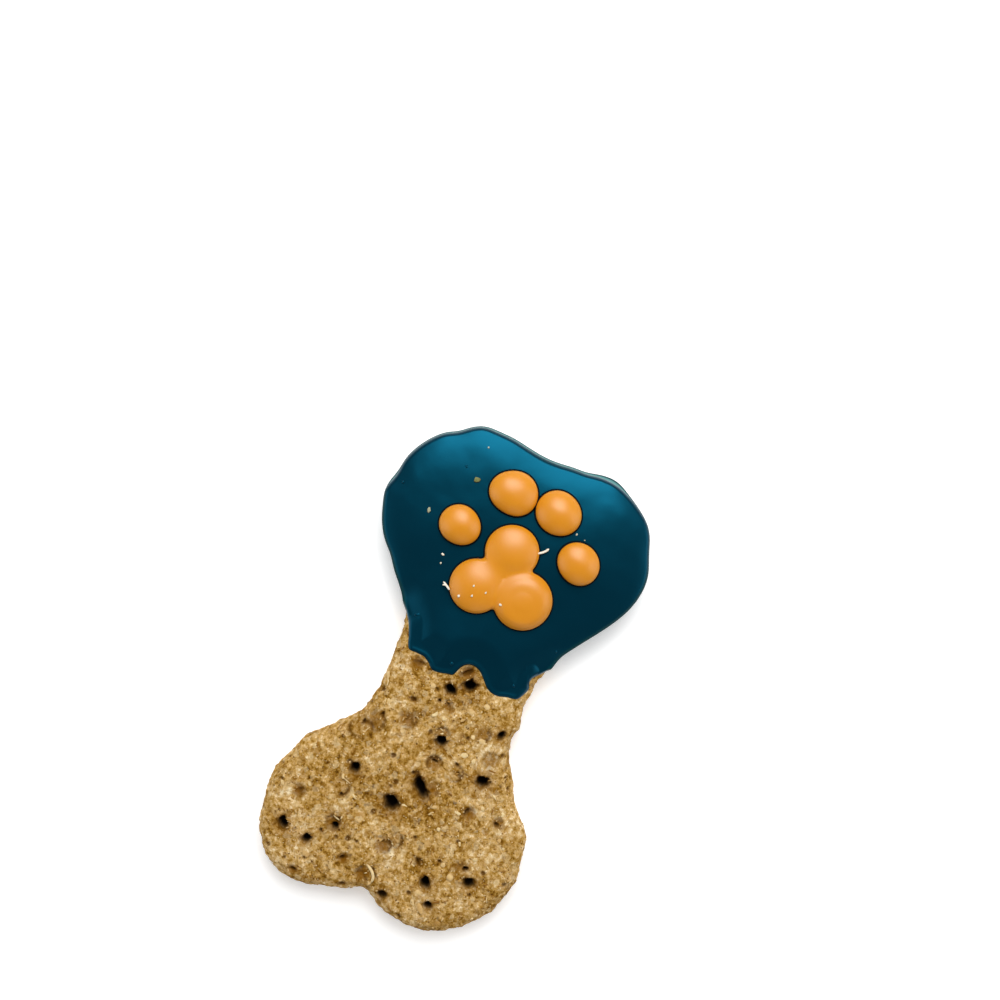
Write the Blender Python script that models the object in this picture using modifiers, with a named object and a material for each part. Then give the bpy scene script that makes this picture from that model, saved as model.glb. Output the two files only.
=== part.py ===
"""Bone-shaped dog biscuit: rough wholemeal dough, one end dipped in a coloured coating, with a piped paw.

The origin is on the surface that the biscuit lies on, under the middle of its outline. +X runs along
the bone to the dipped end, +Y across it and +Z is up. Sizes are in millimetres and MM makes them metres.
"""

import math

import bmesh
import bpy
import numpy as np
from mathutils import Vector, noise

MM = 0.001

# Heights of the layers above the surface that the biscuit lies on
DOUGH_TOP = 8.0
COAT_TOP = 9.2
COAT_FLOOR = 0.7
COAT_FOOT = 1.5

# The small gap that keeps touching pieces apart
GAP = 0.3

# How far the dough draws in under the coating's side wall, and where along the bone it starts and ends
DOUGH_INSET = 1.5
DOUGH_INSET_START = 5.0
DOUGH_INSET_END = 12.0

# How far the coating's wall stands inside its own spread foot, and where that starts and ends
COAT_INSET = 0.4
COAT_INSET_START = 9.0
COAT_INSET_END = 13.0

# Radii of the rounded upper and lower rims
DOUGH_RIM = 2.6
DOUGH_HEEL = 0.8
COAT_RIM = 2.4
COAT_HEEL = 0.5
FOOT_RIM = 0.9
FOOT_HEEL = 0.3

# The bone's outline: round lobes as (x, y, radius) and a tapered shank between (x, y, radius) ends,
# with the width of the smooth blend where they meet
DIPPED_LOBES = ((29.28, 8.76, 16.53), (30.44, -10.31, 15.38))
BARE_LOBES = ((-32.28, 11.05, 13.55), (-30.12, -10.14, 15.05))
SHANK = ((15.0, -1.41, 14.0), (-17.83, -0.2, 11.78))
BLEND_DIPPED_LOBES = 6.8
BLEND_DIPPED_SHANK = 10.3
BLEND_BARE_LOBES = 2.7
BLEND_BARE_SHANK = 18.0

# Swellings and dents of the hand-cut edge: x, y, height outwards, reach along the edge
EDGE_MARKS = (
    (-3.0, -15.0, 0.7, 1.6),
    (-10.0, -15.7, -0.3, 2.0),
    (-16.2, -19.6, -0.5, 1.6),
    (-22.0, -23.7, 0.65, 2.2),
    (-41.0, -20.0, -0.3, 3.0),
    (-45.2, -11.5, 0.35, 2.0),
    (-44.9, 7.0, -0.4, 2.6),
    (-44.6, 17.8, 0.5, 3.4),
    (-35.2, 23.4, -0.85, 2.4),
    (-20.2, 21.0, 0.5, 1.8),
    (-10.5, 13.1, -0.4, 2.2),
    (28.2, 25.7, 0.6, 1.6),
    (32.0, 24.7, -0.55, 1.6),
    (43.0, 17.4, -0.35, 1.4),
    (45.5, 13.2, 0.45, 1.8),
    (45.6, -13.6, 0.45, 1.9),
    (45.3, -8.0, -0.35, 1.6),
    (36.2, -24.2, -0.35, 2.2),
    (9.2, -15.6, 0.3, 1.6),
    (6.4, -14.2, -0.45, 1.2),
)

# The coating's lower edge across the top of the bone, as (y, x) from one flank to the other: tongues
# reach towards the bare end and a bay curls round a docking hole
DRIP_EDGE = (
    (-15.0, 11.5),
    (-14.2, 9.6),
    (-13.2, 6.8),
    (-12.8, 4.4),
    (-12.0, 2.2),
    (-10.2, 1.5),
    (-7.7, 1.4),
    (-6.0, 2.0),
    (-4.5, 3.6),
    (-2.6, 4.7),
    (-0.9, 4.1),
    (0.6, 1.7),
    (3.5, 0.9),
    (5.5, 2.2),
    (8.4, 2.7),
    (9.9, 3.2),
    (11.3, 5.6),
    (12.2, 7.5),
    (13.6, 9.5),
    (15.0, 11.5),
)
DRIP_STEPS = 3

# On the flanks and underneath, the coating starts further up the bone, along a slanted wavy line
FLANK_EDGE = 8.2
FLANK_SLANT = 1.6
FLANK_WAVE = 0.5
FLANK_WAVE_LENGTH = 14.5
FLANK_TOP = 5.2

# Where the dough's underside starts to rise off the floor, and where the coating's floor fits below it
RISE_START = 5.0
RISE_END = 7.6
RISE_TOP = 4.0

# Docking holes through the crust: x, y, half length, half width, turn in degrees, depth
DOCKING_HOLES = (
    (-0.9, -0.1, 0.9, 0.8, 0, 4.6),
    (0.9, -3.2, 1.4, 1.2, 20, 5.2),
    (-10.2, -2.4, 1.1, 0.8, 70, 4.6),
    (-5.1, -11.9, 1.0, 0.8, 30, 3.6),
    (-21.2, 10.3, 1.2, 0.9, 10, 5.0),
    (-24.4, 1.8, 1.8, 1.3, -35, 5.4),
    (-19.8, -2.2, 2.3, 1.1, -38, 5.2),
    (-14.4, -12.2, 1.4, 1.2, -60, 5.2),
    (-35.6, 18.7, 1.4, 0.8, -25, 4.6),
    (-36.5, 13.5, 1.0, 0.9, 40, 4.4),
    (-32.2, 9.8, 1.5, 1.3, -50, 4.0),
    (-35.7, -9.8, 1.3, 0.9, 15, 5.2),
    (-39.0, -12.0, 0.8, 0.8, 0, 4.6),
    (-32.3, -17.3, 1.5, 1.0, -40, 4.6),
    (-40.8, -3.5, 1.0, 1.0, 0, 2.6),
)
HOLE_SIDES = 10
HOLE_MOUTH = 1.25
HOLE_FLOOR = 0.55
PIN_ABOVE = 2.0

# Shallow hollows where a docking pin left a plug, or a crumb broke away: x, y, reach, depth
HOLLOWS = (
    (-29.2, 18.6, 1.5, 0.5),
    (-20.4, -12.3, 1.2, 0.7),
    (-19.9, -18.0, 1.0, 0.6),
    (-9.2, 5.1, 1.8, 0.8),
    (-14.5, -2.5, 1.3, 0.6),
    (-25.3, 11.6, 1.2, 0.5),
    (-29.8, -1.8, 1.3, 0.5),
    (-31.8, 0.4, 1.3, 0.7),
    (-37.0, 5.8, 1.1, 0.7),
    (-42.8, 13.7, 1.0, 0.6),
    (-6.0, -9.0, 1.0, 0.6),
    (-3.5, 0.5, 1.2, 0.5),
    (-12.2, 11.9, 1.0, 0.4),
    (-32.5, -7.0, 0.9, 0.6),
    (-37.4, 2.6, 1.2, 0.7),
    (2.6, -3.6, 1.5, 0.8),
)

# Bran and oat flakes that stand out of the crust: x, y, half length, half width, turn in degrees
FLAKES = (
    (-38.5, -0.2, 2.0, 0.7, 100),
    (-40.5, -10.7, 1.6, 0.6, 70),
    (-11.3, -7.2, 0.9, 0.7, 0),
    (-7.8, -7.5, 0.8, 0.6, 40),
    (-3.9, 11.0, 1.7, 0.5, 55),
    (-30.6, 10.9, 1.1, 0.6, 20),
    (-24.6, 8.3, 1.6, 0.5, 120),
    (-15.0, 8.9, 1.5, 0.6, 60),
    (-27.0, -5.6, 1.2, 0.6, 10),
    (-18.0, -8.6, 1.3, 0.6, 80),
    (-35.0, -3.4, 1.3, 0.5, 35),
    (-3.2, -5.4, 1.2, 0.6, 15),
    (-39.8, 9.6, 1.2, 0.6, 130),
    (-26.5, -19.0, 1.4, 0.6, 60),
    (-7.0, 3.0, 1.3, 0.5, 150),
    (-20.0, 15.6, 1.4, 0.6, 30),
)
FLAKE_HEIGHT = 0.45
FLAKE_LIFT = 0.12
FLAKE_TILT = 8.0

# Relief of the crust: length and height of its lumps, the crown's rise and how far in from the edge it
# is full, the swelling of the sides, and how it fades out under the coating and near the floor
LUMPS = ((6.0, 0.30), (2.6, 0.20))
LUMP_SLICE = 7.3
CROWN = 0.35
CROWN_REACH = 9.0
SIDE_BULGE = 0.35
FADE_BEFORE_COAT = 0.6
FADE_LENGTH = 1.6
STILL_BELOW = 0.3
FADE_HEIGHT = 1.5
FLOOR_SNAP = 0.12

# Piped drops: x, y, half length, half width, turn in degrees, height over the coating
TOES = (
    (36.6, 3.4, 4.3, 4.1, 100, 2.3),
    (36.4, -5.6, 4.1, 4.05, 0, 2.3),
    (27.3, 10.3, 3.7, 3.6, 0, 2.1),
    (29.3, -12.5, 3.85, 3.75, 90, 2.1),
)
PAD_DROPS = (
    (26.4, -0.6, 5.0, 4.9, 0, 2.15),
    (18.3, 2.8, 5.2, 4.9, 40, 2.05),
    (19.0, -5.9, 5.4, 5.35, 0, 2.4),
)
DROP_SIDES = 26
# Half section of a drop, from its crown outwards and under, as shares of its radius and height
DROP_SECTION = (
    (0.0, 1.0),
    (0.45, 0.96),
    (0.74, 0.84),
    (0.92, 0.62),
    (1.0, 0.33),
    (0.97, 0.13),
    (0.88, 0.0),
    (0.0, 0.0),
)

# How finely outlines are traced and meshes are made, and a length well past the biscuit
RAYS = 1440
HALVINGS = 40
NEAREST_EDGE = 6.0
FARTHEST_EDGE = 60.0
DOUGH_POINTS = 120
COAT_POINTS = 96
DOUGH_GRAIN = 1.05
DOUGH_KEEP = 0.42
WELD = 1e-7
LEVEL = 0.01
FAR = 80.0

DOUGH_COLOUR = (0.41, 0.25, 0.085, 1.0)
COAT_COLOUR = (0.002, 0.044, 0.069, 1.0)
DROP_COLOUR = (0.84, 0.35, 0.04, 1.0)


def smooth_min(a, b, width):
    """The smaller of a and b, rounded over where they are within width of each other."""
    share = np.clip(0.5 + 0.5 * (b - a) / width, 0.0, 1.0)
    return b * (1.0 - share) + a * share - width * share * (1.0 - share)


def rise(value, start, end):
    """Zero up to start, one from end on, and a soft rise between."""
    share = np.clip((value - start) / (end - start), 0.0, 1.0)
    return share * share * (3.0 - 2.0 * share)


def lobe_edge(x, y, lobe):
    """Distance from a round lobe, negative inside."""
    return np.hypot(x - lobe[0], y - lobe[1]) - lobe[2]


def shank_edge(x, y):
    """Distance from the tapered bar that joins the bone's ends, negative inside."""
    (x0, y0, r0), (x1, y1, r1) = SHANK
    along = ((x - x0) * (x1 - x0) + (y - y0) * (y1 - y0)) / ((x1 - x0) ** 2 + (y1 - y0) ** 2)
    along = np.clip(along, 0.0, 1.0)
    off = np.hypot(x - x0 - along * (x1 - x0), y - y0 - along * (y1 - y0))
    return off - (r0 + (r1 - r0) * along)


def edge_marks(x, y):
    """Height of the swellings and dents of the edge near a point, each a bell shape."""
    height = 0.0
    for mark_x, mark_y, rise, reach in EDGE_MARKS:
        height = height + rise * np.exp(-((x - mark_x) ** 2 + (y - mark_y) ** 2) / (2 * reach**2))
    return height


def bone_edge(x, y):
    """Distance from the whole biscuit's outline, negative inside: four lobes blended into a shank."""
    dipped = smooth_min(
        lobe_edge(x, y, DIPPED_LOBES[0]), lobe_edge(x, y, DIPPED_LOBES[1]), BLEND_DIPPED_LOBES
    )
    bare = smooth_min(lobe_edge(x, y, BARE_LOBES[0]), lobe_edge(x, y, BARE_LOBES[1]), BLEND_BARE_LOBES)
    body = smooth_min(shank_edge(x, y), dipped, BLEND_DIPPED_SHANK)
    return smooth_min(body, bare, BLEND_BARE_SHANK) - edge_marks(x, y)


def dough_edge(x, y):
    """Distance from the dough's outline, which draws in where the coating wraps its sides."""
    return bone_edge(x, y) + DOUGH_INSET * rise(x, DOUGH_INSET_START, DOUGH_INSET_END)


def coat_edge(x, y):
    """Distance from the coating's side wall, which stands a little inside its own spread foot."""
    return bone_edge(x, y) + COAT_INSET * rise(x, COAT_INSET_START, COAT_INSET_END)


def trace_outline(edge, count):
    """Points where edge(x, y) is zero, found along rays from the middle, then spaced evenly."""
    angle = np.linspace(0.0, 2.0 * math.pi, RAYS, endpoint=False)
    near = np.full(RAYS, NEAREST_EDGE)
    far = np.full(RAYS, FARTHEST_EDGE)
    for _ in range(HALVINGS):
        middle = (near + far) / 2.0
        inside = edge(middle * np.cos(angle), middle * np.sin(angle)) < 0.0
        near = np.where(inside, middle, near)
        far = np.where(inside, far, middle)
    ring = np.stack([near * np.cos(angle), near * np.sin(angle)], axis=1)
    closed = np.vstack([ring, ring[:1]])
    length = np.concatenate([[0.0], np.cumsum(np.hypot(*np.diff(closed, axis=0).T))])
    stops = np.linspace(0.0, length[-1], count, endpoint=False)
    return np.stack([np.interp(stops, length, closed[:, k]) for k in (0, 1)], axis=1)


def drip_line():
    """The drip edge as a smooth curve through its named points, as rows of (y, x)."""
    points = np.array(DRIP_EDGE)
    padded = np.vstack([2 * points[0] - points[1], points, 2 * points[-1] - points[-2]])
    t = np.linspace(0.0, 1.0, DRIP_STEPS, endpoint=False)[:, None]
    pieces = []
    for before, start, end, after in zip(padded, padded[1:], padded[2:], padded[3:]):
        pieces.append(
            0.5
            * (
                2 * start
                + (end - before) * t
                + (2 * before - 5 * start + 4 * end - after) * t**2
                + (3 * start - before - 3 * end + after) * t**3
            )
        )
    return np.vstack([*pieces, points[-1:]])


def drip_x(y):
    """Where along the bone the coating starts on the top, at a given y."""
    line = drip_line()
    order = np.argsort(line[:, 0])
    return np.interp(y, line[order, 0], line[order, 1])


def evaluated_mesh(obj):
    """A new mesh of the object as its modifiers make it."""
    graph = bpy.context.evaluated_depsgraph_get()
    graph.update()
    return bpy.data.meshes.new_from_object(obj.evaluated_get(graph))


def apply_modifiers(obj):
    """Replaces the object's mesh with what its modifiers make of it."""
    mesh = evaluated_mesh(obj)
    obj.modifiers.clear()
    obj.data = mesh


def new_object(name, mesh, collection):
    """Links a mesh into a collection as an object."""
    obj = bpy.data.objects.new(name, mesh)
    collection.objects.link(obj)
    return obj


def flat_solid(name, outline, low, high, collection):
    """A plate with a closed outline, from one height to another, as a mesh object."""
    curve = bpy.data.curves.new(name + "_outline", "CURVE")
    curve.dimensions = "2D"
    curve.fill_mode = "BOTH"
    curve.extrude = (high - low) / 2.0 * MM
    spline = curve.splines.new("POLY")
    spline.points.add(len(outline) - 1)
    for point, (x, y) in zip(spline.points, outline):
        point.co = (x * MM, y * MM, 0.0, 1.0)
    spline.use_cyclic_u = True
    guide = new_object(name + "_outline", curve, collection)
    plate = new_object(name, evaluated_mesh(guide), collection)
    bpy.data.objects.remove(guide, do_unlink=True)
    shape = bmesh.new()
    shape.from_mesh(plate.data)
    bmesh.ops.remove_doubles(shape, verts=shape.verts, dist=WELD)
    for side in (1.0, -1.0):
        cap = [face for face in shape.faces if face.normal.z * side > 0.9]
        bmesh.ops.dissolve_faces(shape, faces=cap)
    bmesh.ops.translate(shape, verts=shape.verts, vec=(0.0, 0.0, (low + high) / 2.0 * MM))
    bmesh.ops.recalc_face_normals(shape, faces=shape.faces)
    shape.to_mesh(plate.data)
    shape.free()
    return plate


def round_rim(plate, width, steps, at_top):
    """Rounds the upper or lower rim of a plate."""
    shape = bmesh.new()
    shape.from_mesh(plate.data)
    heights = [corner.co.z for corner in shape.verts]
    level = max(heights) if at_top else min(heights)
    rim = [
        edge
        for edge in shape.edges
        if all(abs(corner.co.z - level) < LEVEL * MM for corner in edge.verts)
    ]
    bmesh.ops.bevel(
        shape, geom=rim, offset=width * MM, segments=steps, profile=0.5, affect="EDGES"
    )
    shape.to_mesh(plate.data)
    shape.free()


def as_cutter(obj):
    """Marks a helper that shapes other pieces and isn't part of the biscuit."""
    obj.hide_render = True
    obj.display_type = "WIRE"


def add_boolean(obj, operation, other=None, group=None):
    """Adds a Boolean modifier with one object or a whole collection."""
    modifier = obj.modifiers.new(operation.title(), "BOOLEAN")
    modifier.operation = operation
    modifier.solver = "EXACT"
    if group:
        modifier.operand_type = "COLLECTION"
        modifier.collection = group
    else:
        modifier.object = other


def paint(obj, name, colour, roughness):
    """Gives an object its own Principled material."""
    material = bpy.data.materials.new(name)
    material.use_nodes = True
    surface = material.node_tree.nodes["Principled BSDF"]
    surface.inputs["Base Color"].default_value = colour
    surface.inputs["Roughness"].default_value = roughness
    surface.inputs["Metallic"].default_value = 0.0
    obj.data.materials.clear()
    obj.data.materials.append(material)


def crust_relief(point):
    """Height of the crust's lumps at a point, in millimetres."""
    return sum(
        height * noise.noise(Vector(point) / length + Vector((0.0, 0.0, LUMP_SLICE)))
        for length, height in LUMPS
    )


def hollow_depth(x, y):
    """Depth of the shallow hollows at a point, each a bell shape."""
    depth = 0.0
    for hollow_x, hollow_y, reach, deep in HOLLOWS:
        depth += deep * math.exp(-((x - hollow_x) ** 2 + (y - hollow_y) ** 2) / (2 * (0.7 * reach) ** 2))
    return depth


def crust_height(x, y):
    """Height of the bare crust above the floor at a point: rounded rim, crown, lumps and hollows."""
    inset = max(-float(dough_edge(np.float64(x), np.float64(y))), 0.0)
    off_rim = max(DOUGH_RIM - inset, 0.0)
    rim_drop = DOUGH_RIM - math.sqrt(DOUGH_RIM**2 - off_rim**2)
    crown = CROWN * (float(rise(inset, 0.0, CROWN_REACH)) - 0.5)
    return DOUGH_TOP - rim_drop + crown + crust_relief((x, y, DOUGH_TOP)) - hollow_depth(x, y)


def shape_crust(dough):
    """Moves the plain dough's surface into a crowned, lumpy and pitted crust.

    Lumps, hollows and the crown fade out where the coating lies on the dough, and the dipped end's
    underside rises to leave room for the coating below it.
    """
    points = np.empty(len(dough.data.vertices) * 3)
    dough.data.vertices.foreach_get("co", points)
    points = points.reshape(-1, 3) / MM
    x, y, z = points.T
    bare = rise(drip_x(y) - x, FADE_BEFORE_COAT, FADE_BEFORE_COAT + FADE_LENGTH)
    normals = np.empty(len(points) * 3)
    dough.data.vertices.foreach_get("normal", normals)
    normals = normals.reshape(-1, 3)
    on_top = rise(normals[:, 2], 0.2, 0.8)
    on_side = 1.0 - np.abs(normals[:, 2])
    lumps = np.array([crust_relief(point) for point in points])
    hollows = np.array([hollow_depth(px, py) for px, py in points[:, :2]])
    middle = rise(-dough_edge(x, y), 0.0, CROWN_REACH)
    bulge = SIDE_BULGE * on_side * (np.sin(math.pi * np.clip(z / DOUGH_TOP, 0.0, 1.0)) - 0.5)
    off_floor = rise(z, STILL_BELOW, STILL_BELOW + FADE_HEIGHT)
    push = bare * off_floor * (lumps + bulge)
    points += normals * push[:, None]
    points[:, 2] += bare * on_top * (CROWN * (middle - 0.5) - hollows)
    points[(z < FLOOR_SNAP), 2] = 0.0
    lift = (COAT_FLOOR + GAP) * rise(x, RISE_START, RISE_END)
    points[:, 2] += lift * (1.0 - rise(z, 0.0, RISE_TOP))
    dough.data.vertices.foreach_set("co", (points * MM).ravel())
    dough.data.update()


def docking_cutters(collection):
    """Tapered oval pins that cut the docking holes, wider at the mouth."""
    for index, (x, y, half_length, half_width, turn, depth) in enumerate(DOCKING_HOLES):
        shape = bmesh.new()
        bmesh.ops.create_cone(
            shape,
            cap_ends=True,
            segments=HOLE_SIDES,
            radius1=HOLE_FLOOR * MM,
            radius2=HOLE_MOUTH * MM,
            depth=(depth + PIN_ABOVE) * MM,
        )
        mesh = bpy.data.meshes.new(f"docking_pin_{index + 1}")
        shape.to_mesh(mesh)
        shape.free()
        pin = new_object(mesh.name, mesh, collection)
        pin.location = (x * MM, y * MM, (DOUGH_TOP + (PIN_ABOVE - depth) / 2.0) * MM)
        pin.rotation_euler.z = math.radians(turn)
        pin.scale = (half_length, half_width, 1.0)
        as_cutter(pin)


def flake_scraps(collection):
    """Flat oval flakes lying half sunk in the crust."""
    for index, (x, y, half_length, half_width, turn) in enumerate(FLAKES):
        shape = bmesh.new()
        bmesh.ops.create_icosphere(shape, subdivisions=1, radius=1.0 * MM)
        mesh = bpy.data.meshes.new(f"flake_{index + 1}")
        shape.to_mesh(mesh)
        shape.free()
        scrap = new_object(mesh.name, mesh, collection)
        scrap.location = (x * MM, y * MM, (crust_height(x, y) + FLAKE_LIFT) * MM)
        scrap.rotation_euler = (0.0, math.radians(FLAKE_TILT), math.radians(turn))
        scrap.scale = (half_length, half_width, FLAKE_HEIGHT)
        as_cutter(scrap)


def make_dough(parts, cutters, helpers):
    """The whole bone of dough, running on under the coating."""
    dough = flat_solid("biscuit", trace_outline(dough_edge, DOUGH_POINTS), 0.0, DOUGH_TOP, parts)
    round_rim(dough, DOUGH_RIM, 4, at_top=True)
    round_rim(dough, DOUGH_HEEL, 2, at_top=False)
    grain = dough.modifiers.new("Grain", "REMESH")
    grain.mode = "VOXEL"
    grain.voxel_size = DOUGH_GRAIN * MM
    apply_modifiers(dough)
    shape_crust(dough)
    thin = dough.modifiers.new("Thin", "DECIMATE")
    thin.ratio = DOUGH_KEEP
    flakes = bpy.data.collections.new("flakes")
    helpers.children.link(flakes)
    flake_scraps(flakes)
    add_boolean(dough, "UNION", group=flakes)
    docking_cutters(cutters)
    add_boolean(dough, "DIFFERENCE", group=cutters)
    apply_modifiers(dough)
    paint(dough, "baked_dough", DOUGH_COLOUR, 0.85)
    return dough


def flank_cutter(collection):
    """A slab under the drip tongues, with a slanted wavy face where the flanks' coating starts."""
    steps = np.linspace(-FARTHEST_EDGE, FARTHEST_EDGE, 49)
    wave = FLANK_EDGE + FLANK_WAVE * np.sin(2.0 * math.pi * steps / FLANK_WAVE_LENGTH)
    outline = list(zip(wave, steps)) + [(-FAR, FARTHEST_EDGE), (-FAR, -FARTHEST_EDGE)]
    slab = flat_solid("flank_slab", outline, -COAT_TOP, FLANK_TOP, collection)
    for corner in slab.data.vertices:
        if corner.co.z > 0.0 and corner.co.x > 0.0:
            corner.co.x -= FLANK_SLANT * MM
    as_cutter(slab)
    return slab


def make_coating(parts, helpers):
    """The dipped coating: a skin over the top, sides and underside of one end, with a spread foot."""
    coating = flat_solid("coating", trace_outline(coat_edge, COAT_POINTS), 0.0, COAT_TOP, parts)
    round_rim(coating, COAT_RIM, 4, at_top=True)
    round_rim(coating, COAT_HEEL, 1, at_top=False)

    foot = flat_solid("foot", trace_outline(bone_edge, COAT_POINTS), 0.0, COAT_FOOT, helpers)
    round_rim(foot, FOOT_RIM, 2, at_top=True)
    round_rim(foot, FOOT_HEEL, 1, at_top=False)

    def cavity_edge(x, y):
        return dough_edge(x, y) - GAP

    cavity = flat_solid(
        "cavity",
        trace_outline(cavity_edge, COAT_POINTS),
        COAT_FLOOR,
        DOUGH_TOP + GAP,
        helpers,
    )
    round_rim(cavity, DOUGH_RIM, 3, at_top=True)
    round_rim(cavity, DOUGH_HEEL, 1, at_top=False)

    edge = [(x, y) for y, x in drip_line()]
    start = edge[0][0]
    around = [(start, FAR), (FAR, FAR), (FAR, -FAR), (start, -FAR)]
    reach = flat_solid("dipped_reach", edge + around, -COAT_TOP, 2.0 * COAT_TOP, helpers)
    slab = flank_cutter(helpers)
    for helper in (foot, cavity, reach):
        as_cutter(helper)
    add_boolean(coating, "UNION", other=foot)
    add_boolean(coating, "DIFFERENCE", other=cavity)
    add_boolean(coating, "INTERSECT", other=reach)
    add_boolean(coating, "DIFFERENCE", other=slab)
    apply_modifiers(coating)
    paint(coating, "dipped_coating", COAT_COLOUR, 0.35)
    return coating


def piped_drop(name, size, collection):
    """One piped drop: a flattened round button with a tucked-in foot, turned from its half section."""
    x, y, half_length, half_width, turn, height = size
    shape = bmesh.new()
    corners = [shape.verts.new((share * MM, 0.0, rise * MM)) for share, rise in DROP_SECTION]
    for upper, lower in zip(corners, corners[1:]):
        shape.edges.new((upper, lower))
    mesh = bpy.data.meshes.new(name)
    shape.to_mesh(mesh)
    shape.free()
    drop = new_object(name, mesh, collection)
    turned = drop.modifiers.new("Turn", "SCREW")
    turned.steps = DROP_SIDES
    turned.render_steps = DROP_SIDES
    turned.use_merge_vertices = True
    turned.merge_threshold = WELD
    apply_modifiers(drop)
    drop.scale = (half_length, half_width, height)
    drop.rotation_euler.z = math.radians(turn)
    drop.location = (x * MM, y * MM, (COAT_TOP + GAP) * MM)
    drop.data.shade_smooth()
    return drop


def make_paw(parts, helpers):
    """Four toes, each a drop of its own, and the pad of three drops that ran together."""
    for index, toe in enumerate(TOES):
        drop = piped_drop(f"toe_{index + 1}", toe, parts)
        paint(drop, f"piped_drop_{index + 1}", DROP_COLOUR, 0.35)
    pad = piped_drop("paw_pad", PAD_DROPS[0], parts)
    for index, size in enumerate(PAD_DROPS[1:]):
        other = piped_drop(f"pad_drop_{index + 2}", size, helpers)
        as_cutter(other)
        add_boolean(pad, "UNION", other=other)
    apply_modifiers(pad)
    paint(pad, "piped_pad", DROP_COLOUR, 0.35)


def main():
    for obj in list(bpy.data.objects):
        bpy.data.objects.remove(obj, do_unlink=True)
    scene = bpy.context.scene
    parts = bpy.data.collections.new("dog_biscuit")
    helpers = bpy.data.collections.new("helpers")
    cutters = bpy.data.collections.new("docking_pins")
    for collection in (parts, helpers):
        scene.collection.children.link(collection)
    helpers.children.link(cutters)
    make_dough(parts, cutters, helpers)
    make_coating(parts, helpers)
    make_paw(parts, helpers)


main()
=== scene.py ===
"""Dog biscuit shaped like a bone: wholemeal dough, one end dipped in teal coating with a piped orange paw.

All sizes are in millimetres in the biscuit's own frame: +X runs to the dipped end, +Z is up, and the
floor is at height 0. MM turns them to metres where a mesh is made.
"""

import functools
import itertools
import math

import bpy
import numpy as np

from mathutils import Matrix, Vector

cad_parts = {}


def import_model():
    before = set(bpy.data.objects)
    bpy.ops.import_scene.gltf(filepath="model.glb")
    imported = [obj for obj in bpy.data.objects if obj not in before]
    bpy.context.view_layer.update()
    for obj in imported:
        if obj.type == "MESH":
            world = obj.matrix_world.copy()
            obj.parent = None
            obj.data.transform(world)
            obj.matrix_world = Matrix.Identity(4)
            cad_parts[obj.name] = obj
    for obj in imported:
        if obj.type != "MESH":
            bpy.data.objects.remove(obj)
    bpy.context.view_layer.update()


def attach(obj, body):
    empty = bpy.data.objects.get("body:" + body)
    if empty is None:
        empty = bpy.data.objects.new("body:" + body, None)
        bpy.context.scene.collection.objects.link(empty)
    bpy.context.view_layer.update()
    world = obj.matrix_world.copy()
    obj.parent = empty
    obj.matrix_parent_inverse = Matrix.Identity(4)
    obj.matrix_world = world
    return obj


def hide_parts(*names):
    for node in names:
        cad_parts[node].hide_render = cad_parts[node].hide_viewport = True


MM = 0.001

# Heights of the layers
DOUGH_TOP = 8.0
COAT_TOP = 9.3
COAT_UNDER = 1.0

# Rounded rims, and the low crown of the dough's top with its distance in from the outline
DOUGH_RIM = 2.6
DOUGH_HEEL = 0.8
COAT_RIM = 0.8
CROWN = 0.35
CROWN_REACH = 9.0

# The coating's cushion: its fall towards the rim, and its waves as (height, size, seed), which end at the rim
COAT_MIDDLE = (24.0, -1.0)
COAT_FALL = 1.6
COAT_FALL_REACH = 5.0
COAT_WAVES = ((0.10, 8.0, 21), (0.02, 3.0, 22))
COAT_WAVES_FROM = (0.5, 4.0)

# The drip edge: how far it thins the coating, its round bead with a lip, the least thickness there,
# and how far it sinks into the dough
DRIP_THINNING = 0.6
DRIP_THINNING_REACH = 5.5
BEAD = 0.5
BEAD_LIP = 0.07
BEAD_LIP_WIDTH = 0.4
BEAD_LEAST = 0.3
BEAD_SINK = 0.1

# The coating's wall: how far inside the outline a ray ends at the drip edge and at the rim, and where the top
# turns to side; how far the wall stands back past the flank's end; its swell; its uneven foot as (height,
# size, seed); and the foot's height
WALL_FROM = (-0.9, -0.02)
SIDE_FROM = (-0.9, -0.3)
WALL_BACK = 0.12
WALL_BACK_FROM = (8.6, 11.5)
WALL_SWELL = 0.12
WALL_WOBBLE = (0.05, 5.0, 23)
FOOT_TOP = 1.5

# Inside the dough: how far the coating drops from its drip edge and over what share of its wall, how high its
# skin under the dough is and how far that stands back, and how much narrower the underside starts
HIDDEN_DROP = 0.7
HIDDEN_DROP_TO = 0.2
UNDER_TOP = 0.85
HIDDEN_BACK = 1.4
UNDER_NARROWER = 1.2
UNDER_NARROWER_TO = (7.9, 8.9)

# The coating's grid: rays, inner rings, finer rings over the last stretch to the rim, and those of the wall
# and the underside
COAT_RAYS = 840
INNER_RINGS = 46
RIM_RINGS = 40
RIM_STRETCH = 4.0
RIM_CROWDING = 1.8
WALL_RINGS = 15
CLOSING_RINGS = 14

# The foot from its inner top to the floor: share of its spread, share of its height, and the strength of its
# painted highlight there
FOOT_SECTION = (
    (0.04, 0.92, 0.3),
    (0.15, 0.80, 1.0),
    (0.40, 0.70, 1.0),
    (0.65, 0.62, 0.8),
    (0.82, 0.52, 0.0),
    (1.0, 0.34, 0.0),
    (0.95, 0.16, 0.0),
    (0.80, 0.05, 0.0),
    (0.55, 0.0, 0.0),
)
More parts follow.
